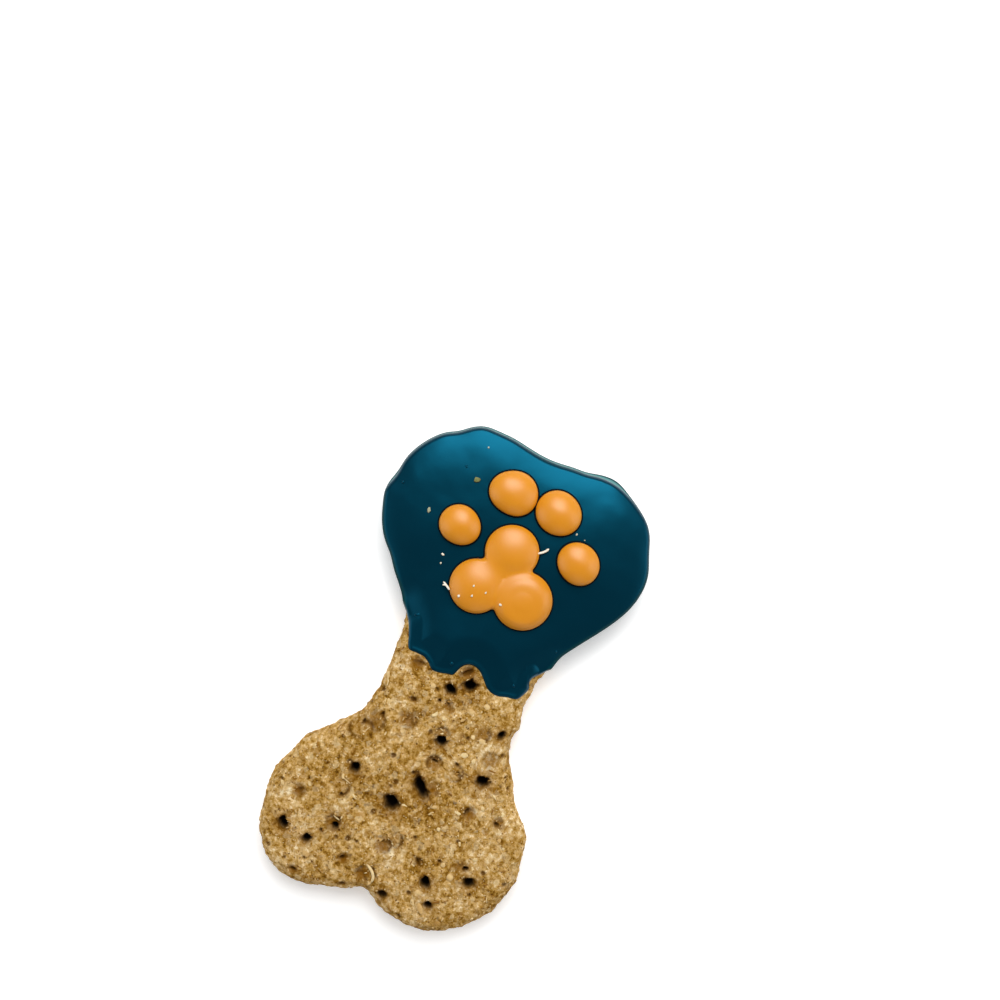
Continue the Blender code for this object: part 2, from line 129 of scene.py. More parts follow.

# How far the foot shows beyond the body where the wall faces the dipped tip, how far it spreads out in any
# case and further where it shows, how much has to show for it to spread and to carry its painted highlight,
# and the places where it shows more: x, y, width, reach
FOOT_WIDTH = 0.32
FOOT_FACING = (-0.1, 0.6)
FOOT_SPREAD = (0.05, 0.1)
FOOT_SPREAD_FROM = (0.0, 0.3)
FOOT_HIGHLIGHT_FROM = (0.04, 0.2)
FOOT_MARKS = (
    (30.5, 25.4, 0.3, 3.5),
    (45.0, -13.2, 0.5, 2.2),
)

# The bone's outline: round lobes and the tapered shank's two ends as (x, y, radius), the blends between them,
# the swelling of the dipped part and the trim of the bare tip, each with the stretch of x where it sets in
DIPPED_LOBES = ((29.28, 8.76, 16.53), (30.44, -10.31, 15.38))
BARE_LOBES = ((-32.28, 11.05, 13.55), (-30.12, -10.14, 15.05))
SHANK = ((15.0, -1.41, 14.0), (-17.83, -0.2, 11.78))
BLEND_DIPPED_LOBES = 6.8
BLEND_DIPPED_SHANK = 10.3
BLEND_BARE_LOBES = 2.7
BLEND_BARE_SHANK = 18.0
DIPPED_SWELL = 0.16
DIPPED_SWELL_FROM = (-14.0, -6.0)
TIP_TRIM = 0.35
TIP_TRIM_TO = (-46.0, -41.0)

# How far the dough's outline lies inside the biscuit's: a crumb's height, nearly nothing at the coating's
# edge on the flanks, and more under the coating, where its top lies lower too
CRUMB_HEIGHT = 0.3
FLUSH_SHARE = 0.85
FLUSH_FROM = (4.0, 6.5)
FLUSH_TO = (8.0, 9.5)
DOUGH_INSET = 1.5
DOUGH_INSET_FROM = (7.2, 12.0)
UNDER_COATING = 0.5
UNDER_COATING_FROM = (0.1, 1.0)

# Swellings and dents of the hand-cut edge: x, y, height outwards, reach along the edge
EDGE_MARKS = (
    (-3.0, -15.0, 0.7, 1.6),
    (-10.0, -15.7, -0.3, 2.0),
    (-16.2, -19.6, -0.5, 1.6),
    (-22.0, -23.7, 0.65, 2.2),
    (-41.0, -20.0, -0.3, 3.0),
    (-44.8, -13.0, 0.5, 2.4),
    (-44.6, 5.4, -0.6, 2.4),
    (-44.6, 17.8, 0.5, 3.4),
    (-35.2, 23.4, -0.85, 2.4),
    (-20.2, 21.0, 0.5, 1.8),
    (-10.5, 13.1, -0.4, 2.2),
    (27.8, 25.8, 0.4, 1.7),
    (32.0, 24.7, -0.3, 1.6),
    (43.0, 17.4, -0.35, 1.4),
    (45.5, 13.2, 0.45, 1.8),
    (45.6, -13.6, 0.45, 1.9),
    (45.3, -8.0, -0.35, 1.6),
    (36.2, -24.2, -0.35, 2.2),
    (9.4, -15.7, 0.35, 1.5),
    (6.2, -14.1, -0.45, 1.0),
    (7.1, 13.1, -0.4, 0.9),
    (16.8, 20.2, -0.3, 1.6),
    (40.5, -21.8, 0.3, 2.0),
    (-5.2, -14.6, -0.3, 1.2),
    (-5.6, 12.6, -0.3, 1.2),
)

# The coating's edge across the top, as (y, x) from flank to flank, with the steps of its curve between two
DRIP_EDGE = (
    (-15.8, 8.9),
    (-14.6, 7.8),
    (-13.8, 7.0),
    (-13.2, 6.2),
    (-13.1, 5.2),
    (-13.5, 4.4),
    (-13.3, 3.6),
    (-12.8, 2.6),
    (-12.0, 1.7),
    (-10.3, 1.4),
    (-8.9, 1.0),
    (-7.5, 1.0),
    (-6.2, 1.6),
    (-5.1, 2.7),
    (-3.9, 3.8),
    (-2.7, 4.3),
    (-1.5, 4.2),
    (-0.5, 3.4),
    (0.1, 2.0),
    (0.5, 1.3),
    (1.4, 1.1),
    (3.0, 0.7),
    (4.4, 0.7),
    (5.5, 1.6),
    (6.7, 2.3),
    (8.3, 2.4),
    (9.9, 2.6),
    (11.0, 5.1),
    (12.1, 7.3),
    (14.3, 9.7),
)
DRIP_STEPS = 12

# The wavy line where the coating starts on the flanks and the underside
FLANK_EDGE = 7.4
FLANK_WAVE = 0.4
FLANK_WAVE_LENGTH = 14.5

# Docking holes: x, y, half length, half width, turn in degrees, depth
DOCKING_HOLES = (
    (-1.4, -0.2, 1.35, 1.08, 68, 2.9),
    (0.6, -3.3, 1.45, 1.25, -84, 3.2),
    (-10.8, -2.4, 1.35, 1.08, -51, 2.9),
    (-5.5, -12.1, 1.00, 0.80, -15, 2.2),
    (-21.6, 10.3, 1.30, 1.04, 35, 3.1),
    (-24.9, 1.6, 2.00, 1.60, 61, 3.3),
    (-20.2, -2.3, 2.60, 1.25, 44, 3.2),
    (-14.8, -12.4, 1.50, 1.25, 89, 3.2),
    (-36.2, 18.5, 1.35, 1.08, 47, 2.9),
    (-37.0, 13.4, 1.10, 0.88, -32, 2.7),
    (-32.8, 9.5, 0.90, 0.80, 60, 2.5),
    (-36.0, -10.0, 1.35, 1.08, 25, 3.2),
    (-39.5, -12.1, 1.00, 0.80, -83, 2.9),
    (-32.8, -17.3, 1.45, 1.16, -83, 2.1),
    (-41.1, -3.5, 1.15, 0.92, -89, 1.7),
)

# Noises that make holes and craters ragged: height, size, seed, and how much they change with depth
JITTER = ((1.0, 1.1, 7, 0.25), (0.5, 0.5, 8, 1.0))

# Shape of a hole, in shares of its own size: how ragged its edge is, where its wall falls, the dip round it
# with its fall, where its painted shade ends and how far the brown round it reaches
HOLE_RAGGED = 0.26
HOLE_WALL = (0.3, 1.2)
HOLE_DIP = 0.06
HOLE_DIP_FALL = 1.1
HOLE_DARK_EDGE = (0.45, 1.0)
HOLE_BROWN_REACH = 1.5

# How dark a hole's painted shade is at no depth and for each mm, how dark a torn pit's is beside one, and how
# brown its crumb is for each mm and at most, a brown that is partly painted shade
HOLE_DARKNESS = (0.45, 0.25)
PIT_DARKNESS = 0.35
HOLE_BROWN_SHARE = (0.65, 0.8)

# How much of the crumb is smoothed away in a hole and on the underside
HOLE_SMOOTHER = 0.7
UNDER_SMOOTHER = 0.75

# Small torn pits: x, y, half length, half width, turn in degrees, depth
TORN_PITS = (
    (2.7, -1.9, 1.4, 0.65, -48, 1.6),
    (0.9, 7.0, 1.6, 0.6, -81, 0.9),
    (-30.6, -15.7, 0.6, 0.45, -45, 2.2),
    (-43.3, 13.4, 0.95, 0.45, -80, 1.3),
    (-13.0, 12.2, 0.55, 0.35, -7, 1.4),
    (-14.6, -2.8, 0.8, 0.4, 88, 1.5),
    (-20.9, -11.8, 0.9, 0.5, -20, 1.2),
    (-20.9, -17.8, 0.7, 0.38, 76, 1.3),
    (-31.8, 9.7, 1.7, 0.8, 67, 0.9),
    (-29.4, 17.8, 0.8, 0.35, 20, 1.0),
    (-37.6, 6.0, 0.75, 0.45, -55, 1.2),
    (-42.2, 4.2, 0.85, 0.35, -64, 1.0),
    (-10.4, 9.4, 0.45, 0.35, 40, 1.2),
    (-9.6, 4.0, 1.0, 0.4, 27, 0.8),
    (-32.9, -7.2, 1.0, 0.42, 44, 0.9),
    (-31.2, -10.8, 0.45, 0.35, -59, 1.0),
    (-13.6, -6.8, 0.45, 0.3, 75, 0.9),
    (-34.5, 11.4, 0.45, 0.32, 73, 1.2),
    (-5.6, 5.0, 0.5, 0.35, 40, 0.9),
    (-26.9, 10.7, 0.4, 0.35, 0, 1.1),
    (-4.0, 0.8, 0.45, 0.35, 60, 1.3),
    (-4.0, -0.9, 0.9, 0.4, 45, 0.8),
    (-31.4, 9.1, 0.9, 0.32, 31, 1.0),
    (-31.9, -0.3, 1.5, 0.45, 79, 0.7),
    (-39.2, 0.8, 1.0, 0.3, 34, 0.8),
    (-38.3, -0.8, 0.9, 0.32, 36, 0.8),
    (-38.2, 2.1, 1.0, 0.45, -17, 0.7),
    (-15.2, -7.8, 0.85, 0.32, 33, 0.7),
    (-9.2, 5.0, 0.6, 0.3, -9, 0.9),
    (-30.7, -23.4, 0.5, 0.35, 20, 0.9),
    (5.0, -13.6, 0.5, 0.3, 12, 0.8),
    (-6.1, -9.7, 0.5, 0.3, 24, 0.7),
)

# Craters left by docking pins and lost crumbs: x, y, radius, depth of the dish, depth of the groove round it,
# direction of the groove's deepest side, and how brown the dish is, a brown that is partly painted shade
CRATERS = (
    (-25.7, 11.3, 1.5, 0.0, 0.5, -67, 0.35),
    (-29.4, 18.2, 1.1, 0.7, 0.25, -77, 1),
    (-32.2, 9.8, 1.5, 0.8, 0.3, 83, 1),
    (-32.6, 0.0, 1.5, 0.6, 0.45, -47, 0.9),
    (-30.8, -1.8, 1.3, 0.0, 0.45, -67, 0.3),
    (-37.8, 5.7, 0.9, 0.6, 0.2, 23, 1),
    (-38.8, 1.2, 1.4, 0.9, 0.2, 113, 1),
    (-33.0, -7.2, 0.7, 0.2, 0.5, -47, 0.4),
    (-15.1, -2.9, 1.3, 0.4, 0.6, 33, 0.8),
    (-9.7, -2.1, 1.3, 0.5, 0.4, 23, 0.8),
    (-19.4, -4.0, 1.5, 0.6, 0.2, -67, 0.8),
    (-15.2, -7.0, 1.5, 0.0, 0.45, -87, 0.3),
    (-21.1, -12.6, 1.1, 0.6, 0.35, 53, 0.9),
    (-20.4, -18.2, 0.9, 0.6, 0.3, 113, 0.7),
    (-30.4, -14.6, 1.1, 0.5, 0.2, -127, 0.8),
    (-6.6, -8.8, 1.5, 0.35, 0.35, -112, 0.7),
    (-10.7, -12.3, 1.5, 0.3, 0.25, 33, 0.7),
    (-9.4, 4.9, 1.7, 0.8, 0.35, -87, 0.9),
    (-13.9, 11.2, 1.1, 0.2, 0.5, -7, 0.4),
    (2.7, -2.2, 1.6, 0.8, 0.2, 23, 1.0),
    (0.8, 7.3, 1.5, 0.5, 0.0, 0, 0.9),
    (-14.2, 12.2, 2.1, 0.15, 0.4, 113, 0.3),
    (-12.2, 10.4, 1.9, 0.2, 0.45, -67, 0.7),
    (-4.3, -0.9, 0.9, 0.4, 0.3, -67, 0.8),
    (-5.8, 4.8, 0.7, 0.3, 0.0, 0, 0.7),
    (-43.3, 13.4, 1.0, 0.6, 0.0, 0, 0.9),
)

# Shape of a crater: how ragged it is, the groove's width, depth, breaks and the darkness of its painted
# shadow, and in shares of the radius how far the dish is off the middle, how wide it is and how far its brown
# reaches
CRATER_RAGGED = 0.10
GROOVE_WIDTH = 0.38
GROOVE_DEPTH = 0.8
GROOVE_WHOLE = 0.9
GROOVE_BREAKS = 0.8
GROOVE_SHADOW = 2.6
DISH_SHIFT = 0.25
DISH_REACH = 0.72
DISH_BROWN_REACH = 0.95
PLUG_HEIGHT = 0.15

# Flakes pressed into the top: x, y, length, width, turn in degrees, tone from brown to cream
FLAKES = (
    (-40.6, -10.9, 2.3, 1.0, -139, 0.55),
    (-37.9, -9.5, 1.6, 1.1, -87, 0.7),
    (-31.3, 9.9, 1.7, 0.4, -112, 1.0),
    (-24.2, 10.7, 2.7, 0.25, -109, 0.8),
    (-24.8, 9.9, 2.4, 0.22, -106, 0.7),
    (-26.3, 8.4, 1.1, 0.5, -127, 0.9),
    (-25.8, -8.3, 0.8, 0.7, 0, 0.9),
    (-11.5, -7.3, 1.4, 1.2, -87, 0.95),
    (-7.8, -7.5, 1.0, 0.9, 0, 0.9),
    (-7.9, -9.3, 1.5, 1.1, -97, 0.75),
    (-11.9, -9.3, 1.0, 0.8, 20, 0.9),
    (-21.6, -10.3, 1.5, 0.6, -102, 1.0),
    (-28.3, -16.7, 0.9, 0.9, 0, 0.95),
    (-19.1, -14.3, 1.0, 0.9, 40, 0.9),
    (-24.4, -20.6, 0.8, 0.6, 23, 0.9),
    (-33.1, -13.7, 1.4, 1.2, 60, 0.7),
    (-31.5, -11.6, 1.0, 0.9, 10, 0.75),
    (-42.0, -12.6, 0.9, 0.4, -7, 1.0),
    (-3.8, 11.2, 2.4, 0.6, 20, 0.8),
    (-1.7, -7.6, 1.6, 1.3, 30, 0.75),
    (-3.7, -5.3, 1.6, 1.2, 70, 0.7),
    (-2.0, 3.0, 1.2, 1.0, 0, 0.75),
    (-6.7, -1.2, 0.9, 0.8, 50, 0.9),
    (-9.4, -2.1, 0.9, 0.3, -60, 1.0),
)

# Crumbs that fell on the coating and the pad: x, y, height over them, length, width, turn, tone
FALLEN_CRUMBS = (
    (36.0, 10.5, 0.2, 1.3, 1.0, -30, 0.0),
    (27.5, 16.4, 0.2, 1.0, 0.7, 30, 0.4),
    (21.0, 10.9, 0.15, 0.6, 0.45, -100, 1.0),
    (19.4, 10.6, 0.12, 0.42, 0.36, 0, 0.75),
    (34.0, -10.2, 0.12, 0.45, 0.36, 0, 0.7),
    (33.6, -12.0, 0.1, 0.32, 0.2, -67, 0.5),
    (42.3, 10.9, 0.1, 0.35, 0.3, 0, 0.6),
    (15.3, 5.2, 0.08, 0.6, 0.5, 0, 0.9),
    (18.1, 3.4, 0.05, 0.45, 0.4, 0, 0.8),
    (16.3, 3.0, 0.05, 0.5, 0.4, 0, 0.8),
    (17.8, 0.9, 0.05, 0.42, 0.36, 0, 0.8),
    (16.8, -2.4, 0.08, 0.6, 0.4, -100, 0.9),
)

# Pimples of the coating itself: x, y, length, width, turn
PIMPLES = (
    (8.9, 10.8, 1.1, 0.6, -60),
    (3.2, 1.5, 0.8, 0.7, 0),
    (12.7, -15.3, 0.5, 0.4, 0),
    (3.9, -10.6, 0.7, 0.5, 30),
    (37.5, 13.2, 0.5, 0.45, 0),
    (30.3, 22.8, 0.6, 0.5, 0),
)

# Thin curls: start, bend and end as x, y, height over the floor; radius
WHITE_CURLS = (
    ((28.0, -5.0, 10.0), (28.9, -6.4, 9.6), (29.6, -6.5, 9.75), 0.22),
    ((15.6, 7.2, 10.0), (16.0, 7.8, 9.7), (16.5, 8.8, 9.5), 0.2),
    ((16.1, 8.0, 9.75), (16.1, 8.4, 9.7), (15.9, 8.7, 9.5), 0.16),
)
BRAN_CURLS = (
    ((-36.9, 1.2, 8.1), (-37.9, -1.1, 8.45), (-39.6, -0.8, 8.0), 0.27),
    ((-13.0, 13.0, 6.4), (-14.6, 12.4, 7.6), (-15.6, 11.0, 7.7), 0.2),
)

# Piped toes: x, y, radius, height over the coating; share and turn of the outline's oval and three-sided wave
TOES = (
    (36.45, 3.31, 4.29, 2.6, 0.057, 89, 0.022, -16),
    (36.27, -5.62, 4.15, 2.6, 0.042, 71, 0.007, 20),
    (27.23, 10.1, 3.74, 2.4, 0.046, 76, 0.014, 10),
    (29.2, -12.6, 3.88, 2.4, 0.051, 60, 0.007, -32),
)

# The pad's drops in the order piped: x, y, radius; their height over the belly, the last one's lens and dish,
# the blends of their outlines, and how every drop's foot is drawn in below its belly and sunk
PAD_DROPS = (
    (26.4, -0.6, 4.95),
    (18.2, 2.9, 5.0),
    (19.0, -5.9, 5.4),
)
PAD_HEIGHT = 1.75
PAD_LENS = 0.2
PAD_LENS_EDGE = (0.74, 1.0)
PAD_MIDDLE = (21.3, -1.2)
PAD_RIM = 0.5
PAD_DISH = (18.7, -6.0, 3.0, 0.2)
PAD_DISH_EDGE = (0.6, 1.3)
PAD_LEAST = 0.05
PAD_BLENDS = (1.2, 0.9)
PAD_SHARE_BLENDS = (0.9, 0.5)
DROP_SINK = 0.25
DROP_BELLY = 0.75
DROP_TUCK = 0.6

# The drops' grids: rays and rings of a toe and of the pad, rings of a foot, and the top point over its ring;
# and a toe's unevenness as (height, size, seed), with the step in the noise from one toe to the next
TOE_RAYS = 140
TOE_RINGS = 36
PAD_RAYS = 560
PAD_RINGS = 90
TUCK_RINGS = 9
TOP_POINT = 0.003
TOE_UNEVEN = (0.05, 2.6, 31)
TOE_NOISE_STEP = 40.0

# Section of the fillet round each drop, which carries a painted contact shadow: distance out from its
# outline, height over the coating
FILLET_SECTION = ((-0.3, 0.36), (0.0, 0.3), (0.15, 0.18), (0.32, 0.03), (0.38, -0.25), (-0.3, -0.25))

# The crust's grid: spacing along the outline where it is bare and where it is coated, the rays that find each
# half of the outline, its rings and its spine
BARE_STEP = 0.27
COATED_STEP = 1.3
COATED_FROM = 8.0
COATED_FULLY = 16.0
OUTLINE_RAYS = 2880
TOP_RINGS = 84
TURN_RINGS = 15
SIDE_RINGS = 18
HEEL_RINGS = 5
UNDER_RINGS = 20
SPINE_HALF = 33.0
SPINE_BEND = 39.0

# The crumb: lumps as (height, size, seed); rounded crumbs; the cells where one broke out, being those with a
# number above GOUGED_FROM, with their least reach, its growth and its edge; and the side's bulge and
# coarser crumb
CRUMB_LUMPS = ((0.30, 6.0, 1), (0.12, 2.6, 2), (0.13, 1.3, 3), (0.13, 0.7, 4))
CRUMB_CELL = 1.15
CRUMB_CELL_HEIGHT = 0.12
GOUGE_CELL = 1.9
GOUGE_DEPTH = 0.4
GOUGED_FROM = 0.8
GOUGE_REACH = (0.10, 0.5, 0.14)
GOUGE_DEEPER = (1.0, 1.0, 0.6)
SIDE_BULGE = 0.35
SIDE_COARSER = 0.35

# What counts as bare, by the distance past the drip edge; as the top, by the height up the rim; and as
# the underside, by how far the surface faces down
BARE_FROM = (-0.2, 0.9)
TOP_FROM = (0.2, 0.8)
UNDERSIDE_FROM = (0.3, 0.9)

# The coated dough's underside is lifted clear of the coating below it, over these stretches of x and height
LIFT_FROM = (5.0, 7.6)
LIFT_TO = 4.0

# Where scraps may lie: above this height, and on the sides with this share of their number on the top;
# the spread of their lengths, and the lowest height of any point
SCRAPS_FROM = 0.6
SIDE_SCRAPS = 0.3
SCRAP_SPREAD = (0.8, 1.25)
SCRAP_LOWEST = 0.01

# Scraps baked into the crumb: slim is width over length, and lift is over the scrap's own thickness
SCRAPS = {
    "oat_flakes": {
        "count": 70,
        "columns": 12,
        "rings": ((0.6, 0.75), (0.92, 0.6), (1.0, 0.0), (0.7, -0.8)),
        "length": (0.7, 1.5),
        "slim": (0.45, 0.85),
        "thick": (0.12, 0.2),
        "ragged": 0.25,
        "curl": 0.05,
        "tilt": 0.06,
        "lift": (-0.5, 0.1),
        "stops": ((0.0, "#b58c48"), (1.0, "#ecd8a6"), (0.6, "#d3b074")),
    },
    "bran_shreds": {
        "count": 650,
        "columns": 6,
        "rings": ((0.6, 0.8), (1.0, 0.0), (0.7, -0.8)),
        "length": (0.5, 1.5),
        "slim": (0.12, 0.3),
        "thick": (0.08, 0.16),
        "ragged": 0.3,
        "curl": 0.2,
        "tilt": 0.12,
        "lift": (-0.7, 0.1),
        "stops": ((0.0, "#8a5c14"), (1.0, "#ecd6a4"), (0.4, "#c0954e")),
    },
    "meal_grains": {
        "count": 2600,
        "columns": 6,
        "rings": ((0.5, 0.8), (0.95, 0.3), (0.95, -0.3)),
        "length": (0.2, 0.42),
        "slim": (0.55, 0.95),
        "thick": (0.15, 0.3),
        "ragged": 0.4,
        "curl": 0.0,
        "tilt": 0.3,
        "lift": (-0.3, 0.1),
        "stops": ((0.0, "#5a3400"), (1.0, "#ecd6a4"), (0.35, "#b4873f")),
    },
}

# Scraps laid at named spots, the rings of their shape as (radius, height), and the fallen ones' colours
LOOSE = {
    "pressed_flakes": {"columns": 13, "thick": 0.25, "ragged": 0.22},
    "fallen_crumbs": {"columns": 9, "thick": 0.3, "ragged": 0.25},
    "coating_pimples": {"columns": 12, "thick": 0.3, "ragged": 0.12},
}
LOOSE_RINGS = ((0.35, 0.95), (0.7, 0.75), (0.95, 0.3), (1.0, -0.2), (0.7, -0.8))
FALLEN_STOPS = ((0.0, "#7d8252"), (1.0, "#fbf8ec"), (0.45, "#b3b8a0"))

# The curls' tubes: rings and rays, height over width, how much thinner the ends are, and their tone
CURL_RINGS = 16
CURL_RAYS = 8
CURL_FLAT = 0.8
CURL_TAPER = 0.6
CURL_TONE = 0.97

# Sizes of the materials' patterns: patches of the bake, ground meal, single grains, fine crumb, the meal of
# a scrap, and soft lumps of the set coating
PATCH = 6.0
MEAL = 0.95
GRAIN = 0.9
FINE_CRUMB = 0.45
SCRAP_MEAL = 0.5
SOFT_LUMPS = 3.0

# The dough's colours: those of the meal from brown to cream, with the two ends first; cream oat and brown
# bran as (channel of the grain's random colour, where it starts, share, colour); and the marks as
# (attribute, share, colour): brown round holes and in dishes, partly painted shade; painted shade in gouged
# pits and crater grooves; and near-black painted shade deep in the holes
DOUGH_STOPS = ((0.31, "#543000"), (0.70, "#fae6bc"), (0.41, "#986d20"), (0.50, "#bf9651"), (0.59, "#d7b174"))
DOUGH_GRAINS = (("Red", 0.75, 0.4, "#ecd5a6"), ("Green", 0.82, 0.45, "#7d4f08"))
DOUGH_MARKS = (("brown", 0.95, "#7e5006"), ("pit", 0.85, "#543000"), ("hole", 1.0, "#0d0602"))

# The noises' lattice repeats after so many cells, lies off the origin and is scaled to about -1 to 1
LATTICE = 32
LATTICE_SHIFT = 57.3
NOISE_GAIN = 1.7

# The photo looks straight down on a point of the dipped end; its upright runs along IMAGE_UP
LOOK_AT = (34.28, 5.18)
IMAGE_UP = (0.9189, 0.3945)
CAMERA_HEIGHT = 255.0
SENSOR = 36.0

# What the picture is wide, and the height over the floor at which it is
PHOTO_WIDTH = 186.8
PHOTO_WIDTH_LEVEL = 4.0

# Light: the floor's half width and its own glow, which keeps it near white, strength of the surround, and
# lamps as (name, distance up and across the picture, height, side, watts)
FLOOR_HALF = 3000.0
FLOOR_GLOW = 0.3
SURROUND = 0.12
LAMPS = (
    ("window", 330.0, 60.0, 480.0, 400.0, 4.0),
    ("left", -60.0, -480.0, 280.0, 400.0, 0.8),
    ("right", -60.0, 480.0, 280.0, 400.0, 1.0),
    ("front", -480.0, 0.0, 280.0, 400.0, 0.3),
)


def to_linear(value):
    """One sRGB channel from 0 to 1, as linear light."""
    return value / 12.92 if value <= 0.04045 else ((value + 0.055) / 1.055) ** 2.4


def colour(hex_value):
    """An sRGB hex colour as linear RGBA."""
    return (*(to_linear(int(hex_value[k : k + 2], 16) / 255.0) for k in (1, 3, 5)), 1.0)


def rise(value, start, end):
    """Zero up to start, one from end on, and a soft S between."""
    share = np.clip((value - start) / (end - start), 0.0, 1.0)
    return share * share * (3.0 - 2.0 * share)


def full_turn(count):
    """Angles spread evenly once round, without the one that would repeat the first."""
    return np.linspace(0.0, 2.0 * math.pi, count, endpoint=False)


def quarter_turn(count):
    """Angles spread evenly from nothing to a right angle, both included."""
    return np.linspace(0.0, math.pi / 2.0, count)


def unit(vectors):
    """Each row brought to length one."""
    return vectors / np.linalg.norm(vectors, axis=1, keepdims=True)


def smooth_min(a, b, width):
    """The smaller of a and b, rounded over where they are within width of each other."""
    share = np.clip(0.5 + 0.5 * (b - a) / width, 0.0, 1.0)
    return b * (1.0 - share) + a * share - width * share * (1.0 - share)


@functools.lru_cache(maxsize=None)
def slope_table(seed):
    """A cube of random unit slopes, one for each corner of the noise lattice."""
    table = np.random.default_rng(seed).normal(size=(LATTICE, LATTICE, LATTICE, 3))
    return table / np.linalg.norm(table, axis=-1, keepdims=True)


def lump_noise(points, size, seed):
    """Gradient noise from about -1 to 1 with lumps of the given size.

    Each lattice corner has a random slope; a point takes the eight nearest corners' planes, weighted by
    a fifth-degree fade along each axis.
    """
    table = slope_table(seed)
    place = points / size + LATTICE_SHIFT
    cell = np.floor(place).astype(int)
    part = place - cell
    fade = part**3 * (part * (part * 6.0 - 15.0) + 10.0)
    total = np.zeros(len(points))
    for corner in itertools.product((0, 1), repeat=3):
        slope = table[tuple(((cell + corner) % LATTICE).T)]
        weight = np.prod(np.where(np.array(corner) == 1, fade, 1.0 - fade), axis=1)
        total += weight * ((part - corner) * slope).sum(axis=1)
    return total * NOISE_GAIN


def cell_noise(points, size, seed):
    """Distance to the nearest cell point, over the given size, and that point's own random number.

    Each cell of the lattice holds one point at random.
    """
    rng = np.random.default_rng(seed)
    place_table = rng.random((LATTICE, LATTICE, LATTICE, 3))
    value_table = rng.random((LATTICE, LATTICE, LATTICE))
    place = points / size + LATTICE_SHIFT
    cell = np.floor(place).astype(int)
    nearest = np.full(len(points), 9.0)
    value = np.zeros(len(points))
    for offset in itertools.product((-1, 0, 1), repeat=3):
        corner = cell + offset
        index = tuple((corner % LATTICE).T)
        reach = np.linalg.norm(corner + place_table[index] - place, axis=1)
        closer = reach < nearest
        nearest = np.where(closer, reach, nearest)
        value = np.where(closer, value_table[index], value)
    return nearest, value


def bell(x, y, middle_x, middle_y, reach):
    """One at its middle and falling off all round: exp(-distance^2 / (2 reach^2))."""
    return np.exp(-((x - middle_x) ** 2 + (y - middle_y) ** 2) / (2 * reach**2))


def bone_edge(x, y):
    """Distance from the whole biscuit's outline, negative inside.

    It is the least of four round lobes and a tapered shank, rounded over where they meet, with a swelling
    of the dipped part, a trim of the bare tip and a bell for each edge mark.
    """
    lobes = [np.hypot(x - cx, y - cy) - r for cx, cy, r in DIPPED_LOBES + BARE_LOBES]
    (x0, y0, r0), (x1, y1, r1) = SHANK
    run_x, run_y = x1 - x0, y1 - y0
    along = np.clip(((x - x0) * run_x + (y - y0) * run_y) / (run_x**2 + run_y**2), 0.0, 1.0)
    shank = np.hypot(x - x0 - along * run_x, y - y0 - along * run_y) - (r0 + (r1 - r0) * along)
    dipped = smooth_min(lobes[0], lobes[1], BLEND_DIPPED_LOBES)
    bare = smooth_min(lobes[2], lobes[3], BLEND_BARE_LOBES)
    edge = smooth_min(smooth_min(shank, dipped, BLEND_DIPPED_SHANK), bare, BLEND_BARE_SHANK)
    edge = edge - DIPPED_SWELL * rise(x, *DIPPED_SWELL_FROM) + TIP_TRIM * (1.0 - rise(x, *TIP_TRIM_TO))
    for mark_x, mark_y, height, reach in EDGE_MARKS:
        edge = edge - height * bell(x, y, mark_x, mark_y, reach)
    return edge


def dough_edge(x, y):
    """Distance from the dough's outline, negative inside: the biscuit's outline moved in by an inset."""
    flush = rise(x, *FLUSH_FROM) * (1.0 - rise(x, *FLUSH_TO))
    inset = CRUMB_HEIGHT * (1.0 - FLUSH_SHARE * flush) + DOUGH_INSET * rise(x, *DOUGH_INSET_FROM)
    return bone_edge(x, y) + inset


def drip_line():
    """The drip edge as a smooth curve through its named points, as rows of (x, y).

    Between two points it is the cubic whose slope at each follows the line between that one's neighbours.
    """
    points = np.array(DRIP_EDGE)
    padded = np.vstack([2 * points[0] - points[1], points, 2 * points[-1] - points[-2]])
    t = np.linspace(0.0, 1.0, DRIP_STEPS, endpoint=False)[:, None]
    pieces = [
        0.5 * (2 * b + (c - a) * t + (2 * a - 5 * b + 4 * c - d) * t**2 + (3 * b - a - 3 * c + d) * t**3)
        for a, b, c, d in zip(padded, padded[1:], padded[2:], padded[3:])
    ]
    return np.vstack([*pieces, points[-1:]])[:, ::-1]


def drip_reach(angle, far=99.0):
    """How far the drip edge is from the coating's middle along each angle, and far where a ray misses it."""
    line = drip_line() - COAT_MIDDLE
    turn = np.mod(np.arctan2(line[:, 1], line[:, 0]), 2.0 * math.pi)
    order = np.argsort(turn)
    reach = np.hypot(*line[order].T)
    return np.interp(np.mod(angle, 2.0 * math.pi), turn[order], reach, left=far, right=far)


def past_drip(x, y):
    """How far a point lies beyond the drip edge on the bare side, negative under the coating."""
    off_x, off_y = x - COAT_MIDDLE[0], y - COAT_MIDDLE[1]
    return np.hypot(off_x, off_y) - drip_reach(np.arctan2(off_y, off_x))


def trace(edge, middle, angle, near=0.5, far=62.0, halvings=32):
    """How far the line edge(x, y) = 0 is from the middle along each angle, by halving the interval."""
    near, far = np.full(len(angle), near), np.full(len(angle), far)
    for _ in range(halvings):
        half = (near + far) / 2.0
        inside = edge(middle[0] + half * np.cos(angle), middle[1] + half * np.sin(angle)) < 0.0
        near, far = np.where(inside, half, near), np.where(inside, far, half)
    return near


def slope_of(edge, x, y, step=0.05):
    """Unit direction in which edge(x, y) grows fastest: the outward normal of its outline."""
    gx = edge(x + step, y) - edge(x - step, y)
    gy = edge(x, y + step) - edge(x, y - step)
    length = np.hypot(gx, gy) + 1e-12
    return gx / length, gy / length


